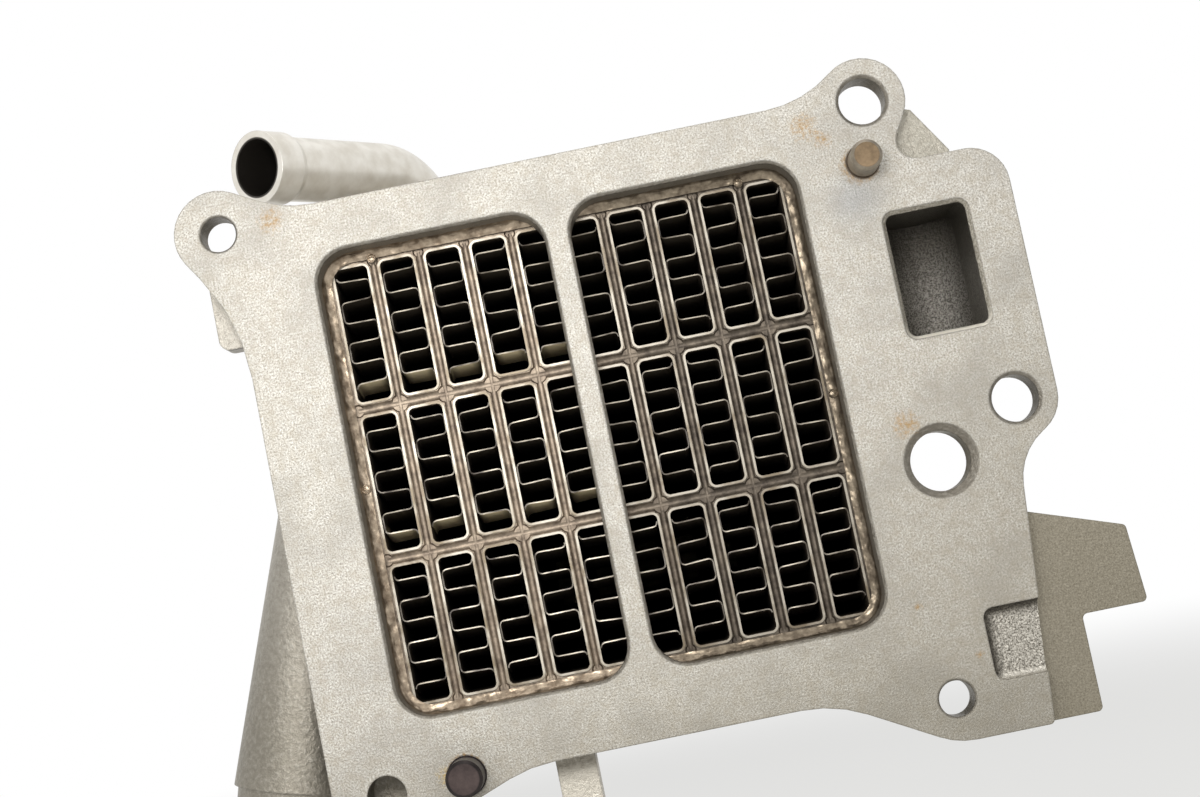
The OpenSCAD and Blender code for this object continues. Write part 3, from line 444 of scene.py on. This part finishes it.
# Where the painted glints lie
GLINT_DROP = 10.6 * MM  # from the middle of a tube down to its lowest fold
GLINT_X, GLINT_HALF = -24 * MM, Vector((23, 3.5, 1.6)) * MM
painted_glints = [((GLINT_X, fin_low.y + 3 * MM, middle(f"tube_{r}_1").z - GLINT_DROP), GLINT_HALF)
               for r in (1, 2)]
tube_stainless = sooty_stainless("tube_stainless", tube_low.y, "#C9C1B1", "#84765F", "#5A5043")
fin_stainless = sooty_stainless("fin_stainless", fin_low.y, "#D6CCB8", "#40372D", "#463E34",
                                painted_glints)
dress(tube_stainless, *tube_names)
dress(fin_stainless, *fin_names)

# %% [markdown]
# ## Working in edit mode
# By hand one would click on faces and edges. In a script a test on their place or normal picks them,
# and the operators then act on what is picked. Clouds that push a surface in and out take away the
# look of a machine-made edge.

# %% Edit-mode helpers
def pick(kind, test):
    """In edit mode, selects the vertices, edges or faces that pass a test, and nothing else."""
    mesh = bpy.context.object.data
    bpy.ops.mesh.select_mode(type=kind)
    bpy.ops.mesh.select_all(action="DESELECT")
    bpy.ops.object.mode_set(mode="OBJECT")
    items = {"VERT": mesh.vertices, "EDGE": mesh.edges, "FACE": mesh.polygons}[kind]
    for item in items:
        item.select = test(item)
    bpy.ops.object.mode_set(mode="EDIT")


def edge_ends(edge):
    """The places of an edge's two ends."""
    return [bpy.context.object.data.vertices[v].co for v in edge.vertices]


def edge_length(edge):
    """How far apart those ends are."""
    a, b = edge_ends(edge)
    return (a - b).length


def roughen(piece, texture_name, lump_mm, strength_mm, direction="NORMAL"):
    """Displaces a piece by a cloud texture, along its normals or one axis."""
    lumps = bpy.data.textures.new(texture_name, "CLOUDS")
    lumps.noise_scale = lump_mm * MM
    modifier = piece.modifiers.new("lumps", "DISPLACE")
    modifier.texture = lumps
    modifier.texture_coords = "LOCAL"
    modifier.direction = direction
    modifier.strength = strength_mm * MM
    bpy.ops.object.modifier_apply(modifier=modifier.name)


# %% [markdown]
# ## Folded fins
# The fin in each tube is one strip of thin sheet, folded to and fro across the tube. The solids hold
# it with sharp folds, but a real sheet is bent over a tool, so its folds are round and no two lie
# quite alike. The strip starts as a plane that is its first short upright. The lower edge is extruded
# across and down, fold by fold, a bevel rounds the folds, and cuts along the flow are moved up and
# down for the zigzag. Copies fill a row, clouds bend them a little, and Solidify gives the sheet its
# thickness.

# %% Fold one strip
FIN_WEBS = 6
FIN_SHEET = 0.25 * MM
FIN_END = 0.9 * MM  # the upright at the top and bottom of a strip
FIN_PLAY = 0.4 * MM  # how far a strip may sit above or below the middle
FIN_WAVE, FIN_HALF_WAVE = 1.5 * MM, 7 * MM  # height and half length of the zigzag
FOLD_RADIUS, TUBE_CORNER = 0.85 * MM, 1.5 * MM
fin_length = fin_high.y - fin_low.y
fin_side = (fin_high.x - fin_low.x - (COLUMNS - 1) * pitch_x - FIN_SHEET) / 2
fin_reach = tube_high.z - tube_low.z - 2 * (TUBE_CORNER + FIN_END + FIN_PLAY) - FIN_WAVE
fin_drop = fin_reach / (FIN_WEBS - 1)
waves = math.ceil(fin_length / FIN_HALF_WAVE)


def fold_strip(name, side):
    """A folded strip round the middle of a tube, its first upright on the right, 1, or left, -1."""
    bpy.ops.object.select_all(action="DESELECT")
    bpy.ops.mesh.primitive_plane_add(size=1)
    strip = bpy.context.object
    strip.name = name
    bpy.ops.object.mode_set(mode="EDIT")
    bpy.ops.mesh.select_all(action="SELECT")
    bpy.ops.transform.rotate(value=math.pi / 2, orient_axis="Y", center_override=(0, 0, 0))
    bpy.ops.transform.resize(value=(1, fin_length, FIN_END))
    start = (side * fin_side, fin_low.y + fin_length / 2, (fin_reach + FIN_END) / 2)
    bpy.ops.transform.translate(value=start)
    corner = fin_reach / 2 + 0.1 * MM
    pick("EDGE", lambda edge: max(p.z for p in edge_ends(edge)) < corner)
    for web in range(1, FIN_WEBS + 1):
        side = -side
        across = {"value": (2 * side * fin_side, 0, 0)}
        down = {"value": (0, 0, -fin_drop if web < FIN_WEBS else -FIN_END)}
        bpy.ops.mesh.extrude_region_move(TRANSFORM_OT_translate=across)
        bpy.ops.mesh.extrude_region_move(TRANSFORM_OT_translate=down)
    long = fin_length / 2
    pick("EDGE", lambda edge: edge_length(edge) > long and abs(edge_ends(edge)[0].z) < corner)
    bpy.ops.mesh.bevel(affect="EDGES", offset=FOLD_RADIUS, segments=3)
    pick("EDGE", lambda edge: edge_length(edge) > long)
    bpy.ops.mesh.subdivide(number_cuts=waves - 1)
    for odd, shift in enumerate((FIN_WAVE / 2, -FIN_WAVE / 2)):
        pick("VERT", lambda v: round((v.co.y - fin_low.y) / fin_length * waves) % 2 == odd)
        bpy.ops.transform.translate(value=(0, 0, shift))
    bpy.ops.object.mode_set(mode="OBJECT")
    return strip


strips = [fold_strip("strip_left", -1), fold_strip("strip_right", 1)]
print("one strip:", len(strips[0].data.polygons), "faces, webs", round(fin_drop / MM, 2), "mm apart")

# %% Fill the rows
SCATTER = math.radians(137.5)  # an angle whose sines never fall into step
for row in range(ROWS):
    copies = []
    for column in range(COLUMNS):
        copy = strips[(row + column) % 2].copy()
        copy.data = copy.data.copy()
        bpy.context.scene.collection.objects.link(copy)
        tube = middle(f"tube_{row + 1}_{column + 1}")
        copy.location = (tube.x, 0, tube.z + FIN_PLAY * math.sin(SCATTER * (row * COLUMNS + column)))
        copies.append(copy)
    bpy.ops.object.select_all(action="DESELECT")
    for copy in copies:
        copy.select_set(True)
    fins = bpy.context.view_layer.objects.active = copies[0]
    bpy.ops.object.transform_apply(location=True)
    bpy.ops.object.join()
    fins.name = f"folded_fins_{row + 1}"
    roughen(fins, f"bent_webs_{row + 1}", 5.0, 0.6, "Z")
    roughen(fins, f"uneven_ends_{row + 1}", 4.0, 2.0, "Y")
    sheet = fins.modifiers.new("sheet", "SOLIDIFY")
    sheet.thickness = FIN_SHEET
    sheet.offset = 0
    bpy.ops.object.modifier_apply(modifier=sheet.name)
    bpy.ops.object.shade_smooth_by_angle(angle=math.radians(40))
    fins.data.materials.append(fin_stainless)
    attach(fins, "root")
    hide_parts(fin_names[row])
    print(fins.name, len(fins.data.polygons), "faces")
bpy.ops.object.select_all(action="DESELECT")
for strip in strips:
    strip.select_set(True)
bpy.ops.object.delete()

# %% [markdown]
# ## Braze fillet
# Where the bundle meets the walls of the windows, molten braze has run into the corner and set in a
# lumpy, golden-brown fillet. It starts as a plane the size of the opening: its corners are rounded
# with a bevel, insets step it down towards the tubes, and the middle is deleted. The long edges are
# cut up, and a displacement with a cloud texture makes the lumps.

# %% Model the braze fillet
FILLET_TOP = 5.2 * MM
FILLET_STEPS = [(0.3, 1.0), (0.6, 0.6), (0.6, 0.3), (0.35, 0.15)]  # width and drop in millimetres
WINDOW_CORNER = 6.6 * MM
bpy.ops.object.select_all(action="DESELECT")
bpy.ops.mesh.primitive_plane_add(size=2)
fillet = bpy.context.object
fillet.name = "braze_fillet"
bpy.ops.object.mode_set(mode="EDIT")
bpy.ops.mesh.select_all(action="SELECT")
bpy.ops.transform.rotate(value=-math.pi / 2, orient_axis="X", center_override=(0, 0, 0))
bpy.ops.transform.resize(value=(window_x + 0.1 * MM, 1, window_z + 0.1 * MM))
bpy.ops.transform.translate(value=(0, FILLET_TOP, 0))
bpy.ops.mesh.bevel(affect="VERTICES", offset=WINDOW_CORNER, segments=10)
pick("FACE", lambda face: True)
inward = 1 if fillet.data.polygons[0].normal.y > 0 else -1
for width, drop in FILLET_STEPS:
    bpy.ops.mesh.inset(thickness=width * MM, depth=inward * drop * MM)
bpy.ops.mesh.delete(type="FACE")
pick("EDGE", lambda edge: edge_length(edge) > 5 * MM)
bpy.ops.mesh.subdivide(number_cuts=70)
bpy.ops.mesh.select_all(action="SELECT")
bpy.ops.mesh.subdivide(number_cuts=2)
bpy.ops.object.mode_set(mode="OBJECT")
roughen(fillet, "braze_lumps", 1.6, 0.55)
bpy.ops.object.shade_smooth()
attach(fillet, "root")
print("braze fillet:", len(fillet.data.polygons), "faces")

# %% [markdown]
# Braze is a copper or nickel alloy that has flowed and frozen, so it shines more than the sheet round
# it, in runs of a paler and a darker gold. It is darker in the right window, as on the header.

# %% Golden braze
# It shows as warm, wet-looking highlights on every lump
golden_braze, tree, where = new_material("golden_braze")
across = add(tree, "SeparateXYZ", {0: where}, "X")
runs = add(tree, "TexNoise", {"Vector": where, "Scale": per_mm(1.8), "Detail": 4.0, "Roughness": 0.6})
beads = add(tree, "TexNoise", {"Vector": where, "Scale": per_mm(0.5), "Detail": 2.0})
run = add(tree, "MapRange", {0: runs, 1: 0.35, 2: 0.68})
# Darker in the right window
right_window = add(tree, "MapRange", {0: across, 1: -8 * MM, 2: 14 * MM, 3: 0.0, 4: 0.7})
braze = paint(tree, "#766756", (run, "#B3A38E"))
braze = paint(tree, braze, (right_window, paint(tree, "#4E463B", (run, "#7A705F"))))
bump = add(tree, "Bump", {"Height": beads, "Strength": 0.3, "Distance": 0.12 * MM})
finish_metal(tree, {"Base Color": braze, "Metallic": 0.8, "Roughness": 0.34, "Normal": bump})
fillet.data.materials.append(golden_braze)
print(golden_braze.name, "on", fillet.name)

# %% [markdown]
# ## Tack marks
# Four small craters of braze sit on the fillet where the bundle was tacked before it went into the
# furnace. One is made from a sphere: it is flattened, and the cap that looks out of the window is
# inset and pushed in. Copies of it go to the other places, and a subdivision surface rounds them off.

# %% Model the tack marks
TACK_RADIUS, TACK_DENT = 0.95 * MM, 0.5 * MM
TACKS_MM = [(-46.0, 6.4, -0.5), (46.0, 6.4, -0.5), (-36.6, 6.8, 43.6), (36.6, 6.8, 43.6)]
tacks = [Vector(place) * MM for place in TACKS_MM]
bpy.ops.object.select_all(action="DESELECT")
bpy.ops.mesh.primitive_uv_sphere_add(segments=16, ring_count=10, radius=TACK_RADIUS)
tack = bpy.context.object
tack.name = "braze_tacks"
bpy.ops.object.mode_set(mode="EDIT")
bpy.ops.mesh.select_all(action="SELECT")
bpy.ops.transform.rotate(value=math.pi / 2, orient_axis="X", center_override=(0, 0, 0))
bpy.ops.transform.resize(value=(1, 0.6, 1))
pick("FACE", lambda face: face.center.y < -0.4 * TACK_RADIUS)
bpy.ops.mesh.inset(thickness=0.12 * MM)
bpy.ops.transform.translate(value=(0, TACK_DENT, 0))
bpy.ops.mesh.select_all(action="SELECT")
bpy.ops.transform.translate(value=tacks[0])
for before, after in zip(tacks, tacks[1:]):
    bpy.ops.mesh.duplicate()
    bpy.ops.transform.translate(value=after - before)
bpy.ops.object.mode_set(mode="OBJECT")
rounding = tack.modifiers.new("rounding", "SUBSURF")
rounding.levels = rounding.render_levels = 2
bpy.ops.object.modifier_apply(modifier=rounding.name)
roughen(tack, "tack_lumps", 0.8, 0.15)
bpy.ops.object.shade_smooth()
tack.data.materials.append(golden_braze)
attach(tack, "root")
print("tack marks:", len(tacks), "with", len(tack.data.polygons), "faces")

# %% [markdown]
# ## Lining of the pocket
# The small pocket beside the bracket was left as cast, so its walls run into its floor in a soft curve
# and the floor is gritty. The solid has a plain pocket there. The lining starts as a plane on its
# floor: two corners are rounded, the edges that meet a wall are extruded up to the rim, a bevel makes
# the soft curve, and clouds make the grit. The side towards the bracket is open, as on the casting.

# %% Measure the pocket
POCKET_DEPTH, LINING = 2.5 * MM, 0.4 * MM
on_floor = [v.co for v in nodes["housing"].data.vertices
            if abs(v.co.y - POCKET_DEPTH) < 0.02 * MM and v.co.x > window_x and v.co.z < -window_z]
left, right = min(p.x for p in on_floor), max(p.x for p in on_floor)
bottom, top = min(p.z for p in on_floor), max(p.z for p in on_floor)
slant = right - max(p.x for p in on_floor if p.z < bottom + 0.1 * MM)
bed = POCKET_DEPTH - LINING
print(f"pocket floor {(right - left) / MM:.1f} x {(top - bottom) / MM:.1f} mm")

# %% Model the lining
RIM, CORNER, CURVE = 0.35 * MM, 2 * MM, 1.5 * MM


def at_wall(edge):
    """True for the edges of the floor that meet a wall, and false on the open side."""
    a, b = edge_ends(edge)
    return min(a.x, b.x) < right - 2 * slant and min(a.y, b.y) > bed / 2


bpy.ops.object.select_all(action="DESELECT")
bpy.ops.mesh.primitive_plane_add(size=1)
lining = bpy.context.object
lining.name = "pocket_lining"
bpy.ops.object.mode_set(mode="EDIT")
bpy.ops.mesh.select_all(action="SELECT")
bpy.ops.transform.rotate(value=-math.pi / 2, orient_axis="X", center_override=(0, 0, 0))
bpy.ops.transform.resize(value=(right - left, 1, top - bottom))
bpy.ops.transform.translate(value=((left + right) / 2, bed, (bottom + top) / 2))
pick("VERT", lambda v: v.co.x < left + 1 * MM)
bpy.ops.mesh.bevel(affect="VERTICES", offset=CORNER, segments=6)
pick("VERT", lambda v: v.co.x > right - 0.1 * MM and v.co.z < bottom + 0.1 * MM)
bpy.ops.transform.translate(value=(-slant, 0, 0))
pick("EDGE", at_wall)
bpy.ops.mesh.extrude_region_move(TRANSFORM_OT_translate={"value": (0, RIM - bed, 0)})
pick("EDGE", at_wall)
bpy.ops.mesh.bevel(affect="EDGES", offset=CURVE, segments=5)
pick("FACE", lambda face: True)
if max(lining.data.polygons, key=lambda face: face.area).normal.y > 0:
    bpy.ops.mesh.flip_normals()
bpy.ops.object.mode_set(mode="OBJECT")
finer = lining.modifiers.new("finer", "SUBSURF")
finer.subdivision_type = "SIMPLE"
finer.levels = finer.render_levels = 4
bpy.ops.object.modifier_apply(modifier=finer.name)
roughen(lining, "pocket_grit", 0.5, 0.35)
bpy.ops.object.shade_smooth()
lining.data.materials.append(cast_aluminium)
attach(lining, "root")
print("pocket lining:", len(lining.data.polygons), "faces")

# %% [markdown]
# ## Pipe, screws and gaskets
# The pipe is drawn steel with a bright satin finish, the screws are plated, and the gaskets are thin
# coated sheet. All three are plain metals that differ in tone, grain and gloss, so one recipe makes
# them. The pipe is painted dark inside, as painted shade: points close to its axis and near its
# mouth are the bore.

# %% Satin steels
def satin_steel(name, light, dark, grain_mm, roughness, metallic=0.9, bore=None):
    """Satin metal: soft highlights on faint blotches.

    A bore, painted dark inside as painted shade, is a mouth, an axis, a radius and a depth."""
    material, tree, where = new_material(name)
    grain = add(tree, "TexNoise", {"Vector": where, "Scale": per_mm(grain_mm), "Detail": 4.0})
    patch = add(tree, "MapRange", {0: grain, 1: 0.35, 2: 0.65})
    gloss = add(tree, "MapRange", {0: grain, 3: roughness - 0.08, 4: roughness + 0.08})
    colour = paint(tree, dark, (patch, light))
    if bore:
        mouth, axis, radius, length = bore
        offset = add(tree, "VectorMath", {0: where, 1: mouth}, operation="SUBTRACT")
        aside = add(tree, "VectorMath", {0: offset, 1: axis}, operation="CROSS_PRODUCT")
        far = add(tree, "VectorMath", {0: aside}, "Value", operation="LENGTH")
        painted_bore_shade = add(tree, "MapRange", {0: far, 1: radius, 2: radius + 0.2 * MM, 3: 1.0, 4: 0.0})
        along = add(tree, "VectorMath", {0: offset, 1: axis}, "Value", operation="DOT_PRODUCT")
        begun = add(tree, "MapRange", {0: along, 1: -length, 2: -length + 2 * MM})
        painted_bore_shade = add(tree, "Math", {0: painted_bore_shade, 1: begun}, operation="MULTIPLY")
        # Painted shade inside the bore
        colour = paint(tree, colour, (painted_bore_shade, "#35312C"))
    soft_edge = add(tree, "Bevel", {"Radius": 0.3 * MM}, samples=4)
    bump = add(tree, "Bump", {"Height": grain, "Strength": 0.25, "Distance": 0.1 * MM,
                              "Normal": soft_edge})
    finish_metal(tree, {"Base Color": colour, "Metallic": metallic, "Roughness": gloss, "Normal": bump})
    return material


hose_end = mounts["coolant_hose_end"]
pipe_bore = (hose_end["pos_m"], hose_end["axis"], 6.4 * MM, 34 * MM)
dress(satin_steel("drawn_pipe_steel", "#EFEBE2", "#DDD7CB", 4.0, 0.36, 0.6, pipe_bore), "coolant_pipe")
dress(satin_steel("plated_screw_steel", "#A9A69C", "#94908A", 0.9, 0.35), "tank_screws")
dress(satin_steel("coated_gasket_sheet", "#45423E", "#2E2C2A", 1.0, 0.55, 0.5),
      "front_gasket", "rear_gasket", "tank_gasket")

# %% [markdown]
# ## The tank
# The tank was pressed from stainless sheet. The hot gas turns round in it, so the dome has taken a
# straw and brown tint that fades towards the cooler rim. The tint could follow the heat in a
# simulation, but the distance from the middle, pushed about by noise, looks the same.

# %% Heat-tinted stainless
# It shows as grey satin metal that turns to straw and brown, with the sheet's grain running across it
tinted_stainless, tree, where = new_material("heat_tinted_stainless")
tank = middle("return_tank")
spread = add(tree, "VectorMath", {0: where, 1: (1, 0, 1)}, operation="MULTIPLY")
far = add(tree, "VectorMath", {0: spread, 1: (tank.x, 0, tank.z)}, "Value", operation="DISTANCE")
drift = add(tree, "TexNoise", {"Vector": where, "Scale": per_mm(18), "Detail": 3.0})
drift = add(tree, "MapRange", {0: drift, 1: 0.3, 2: 0.7, 3: -14 * MM, 4: 14 * MM})
far = add(tree, "Math", {0: far, 1: drift}, operation="ADD")
# Rolling lines are too fine to show, so they are drawn half a millimetre wide
rolled = add(tree, "Mapping", {"Vector": where, "Scale": (0.06, 1, 1)})
grain = add(tree, "TexNoise", {"Vector": rolled, "Scale": per_mm(0.5), "Detail": 3.0})
lines = add(tree, "MapRange", {0: grain, 1: 0.3, 2: 0.7})
straw = add(tree, "MapRange", {0: far, 1: 34 * MM, 2: 62 * MM, 3: 1.0, 4: 0.0})
brown = add(tree, "MapRange", {0: far, 1: 14 * MM, 2: 40 * MM, 3: 0.8, 4: 0.0})
colour = paint(tree, "#9A9790", (lines, "#A6A39B"))
colour = paint(tree, colour, (straw, paint(tree, "#9B8E74", (lines, "#A89A7F"))),
               (brown, paint(tree, "#81705B", (lines, "#8D7B65"))))
bump = add(tree, "Bump", {"Height": grain, "Strength": 0.2, "Distance": 0.1 * MM})
finish_metal(tree, {"Base Color": colour, "Metallic": 0.9, "Roughness": 0.4, "Normal": bump})
dress(tinted_stainless, "return_tank")

# %% [markdown]
# ## The pins
# The pins are ground steel. Their ends have browned, with a dark ring at the rim. The upper pin's
# side has stayed greyer; the lower pin is blackened, and its side is painted darker still, as painted
# shade. The normal tells the end from the side, and the distance from the axis draws the ring.

# %% Ground dowel steel
def dowel_steel(name, pin, end, side, rim):
    """Ground steel, dull and blotched with rust. End and side are pairs of colours."""
    material, tree, where = new_material(name)
    low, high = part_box(pin)
    centre, radius = (low + high) / 2, (high.x - low.x) / 2
    facing = add(tree, "SeparateXYZ", {0: add(tree, "NewGeometry", out="Normal")}, "Y")
    flat = add(tree, "MapRange", {0: facing, 1: -0.95, 2: -0.75, 3: 1.0, 4: 0.0})
    blotch = add(tree, "TexNoise",
                 {"Vector": where, "Scale": per_mm(2.0), "Detail": 5.0, "Roughness": 0.65})
    patch = add(tree, "MapRange", {0: blotch, 1: 0.32, 2: 0.68})
    across = add(tree, "VectorMath", {0: where, 1: (1, 0, 1)}, operation="MULTIPLY")
    axis = (centre.x, 0, centre.z)
    far = add(tree, "VectorMath", {0: across, 1: axis}, "Value", operation="DISTANCE")
    ring = add(tree, "MapRange", {0: far, 1: radius - 1.1 * MM, 2: radius - 0.5 * MM})
    tip = paint(tree, paint(tree, end[0], (patch, end[1])), (ring, rim))
    colour = paint(tree, paint(tree, side[0], (patch, side[1])), (flat, tip))
    bump = add(tree, "Bump", {"Height": blotch, "Strength": 0.3, "Distance": 0.1 * MM})
    finish_metal(tree, {"Base Color": colour, "Metallic": 0.7, "Roughness": 0.42, "Normal": bump})
    dress(material, pin)


dowel_steel("browned_pin_steel", "upper_dowel_pin",
            ("#584936", "#7A674F"), ("#6A6155", "#8F8676"), "#4A3F33")
# The lower pin's side is painted darker than its end, as painted shade
dowel_steel("blackened_shaded_pin_steel", "lower_dowel_pin",
            ("#362D2B", "#4B403D"), ("#201B1A", "#342D2B"), "#262020")

# %% [markdown]
# ## Floor, light and camera
# The part is shown in front of a white studio sweep. The floor below it is pale and keeps its shadow,
# and fades to the white of the background further off. The world lights the part only a little, but
# the camera and the reflections in the metal see it as plain white.

# %% Floor
FLOOR_DROP = 35 * MM
bpy.ops.object.select_all(action="DESELECT")
bpy.ops.mesh.primitive_circle_add(vertices=96, radius=3.0, fill_type="NGON",
                                  location=(0, 0.3, cad_low.z - FLOOR_DROP))
floor = bpy.context.object
floor.name = "studio_floor"
# Matte white card: no highlight, a soft shadow, and a glow that hides where it ends
white_floor, tree, where = new_material("white_studio_floor")
far = add(tree, "VectorMath", {0: where}, "Value", operation="LENGTH")
fade = add(tree, "MapRange", {0: far, 1: 0.15, 2: 0.75, 3: 0.66, 4: 1.0},
           interpolation_type="SMOOTHSTEP")
matte = add(tree, "BsdfDiffuse", {"Color": "#F1F0E4"})
glow = add(tree, "Emission", {"Color": (1, 1, 1, 1), "Strength": 1.0})
sweep = add(tree, "MixShader", {0: fade, 1: matte, 2: glow})
add(tree, "OutputMaterial", {"Surface": sweep}, None)
floor.data.materials.append(white_floor)
print("floor at", round(floor.location.z / MM, 1), "mm")

# %% Background
world = bpy.data.worlds.new("white_studio")
bpy.context.scene.world = world
world.use_nodes = True
tree = world.node_tree
tree.nodes.clear()
rays = add(tree, "LightPath", out=None)
seen = add(tree, "Math", {0: rays["Is Camera Ray"], 1: rays["Is Glossy Ray"]}, operation="MAXIMUM")
seen = add(tree, "Math", {0: seen, 1: rays["Is Transmission Ray"]}, operation="MAXIMUM")
soft = add(tree, "Background", {"Color": (1, 1, 1, 1), "Strength": 0.12})
plain = add(tree, "Background", {"Color": (1, 1, 1, 1), "Strength": 1.0})
add(tree, "OutputWorld", {"Surface": add(tree, "MixShader", {0: seen, 1: soft, 2: plain})}, None)
print("background of", len(tree.nodes), "nodes")

# %% [markdown]
# Three small softboxes close in front make the upper left of the face bright and leave the lower right
# darker, and a large one above fills the top. Small lamps close by fall off across the part, which one
# large lamp far away wouldn't do.

# %% Lamps
def softbox(name, place, aim, size, watts):
    """A square lamp at a place, in metres, that points at another place."""
    lamp = bpy.data.lights.new(name, "AREA")
    lamp.size = size
    lamp.energy = watts
    lamp_object = bpy.data.objects.new(name, lamp)
    lamp_object.location = place
    lamp_object.rotation_euler = (Vector(aim) - Vector(place)).to_track_quat("-Z", "Y").to_euler()
    bpy.context.scene.collection.objects.link(lamp_object)
    print(name, watts, "W")


softbox("key_softbox", (-0.018, -0.26, 0.066), (0, 0, 0.01), 0.07, 0.35)
softbox("left_softbox", (-0.10, -0.22, 0.05), (-0.04, 0, 0.01), 0.07, 0.17)
softbox("right_softbox", (0.14, -0.25, 0.08), (0.03, 0, 0), 0.08, 0.07)
softbox("top_softbox", (0.05, 0.0, 0.7), (0, 0, 0), 0.6, 2)

# %% [markdown]
# The camera looks almost square at the face from a little below, and leans to one side. Its place
# comes from fitting the holes and window corners of the solid to where they should appear.

# %% Camera
CAMERA_AT = (1.72 * MM, -379.18 * MM, -25.90 * MM)
LOOKS_UP, ROLL = math.radians(4.97), math.radians(-11.6)
camera = bpy.data.objects.new("camera", bpy.data.cameras.new("camera"))
camera.data.lens = 60
camera.data.sensor_width = 36
camera.data.clip_start = 0.01
camera.location = CAMERA_AT
camera.rotation_mode = "ZXY"
camera.rotation_euler = (math.pi / 2 + LOOKS_UP, 0, ROLL)
bpy.context.scene.collection.objects.link(camera)
bpy.context.scene.camera = camera
bpy.context.scene.view_settings.view_transform = "Standard"
print("camera", round(camera.location.length / MM), "mm from the middle of the face")
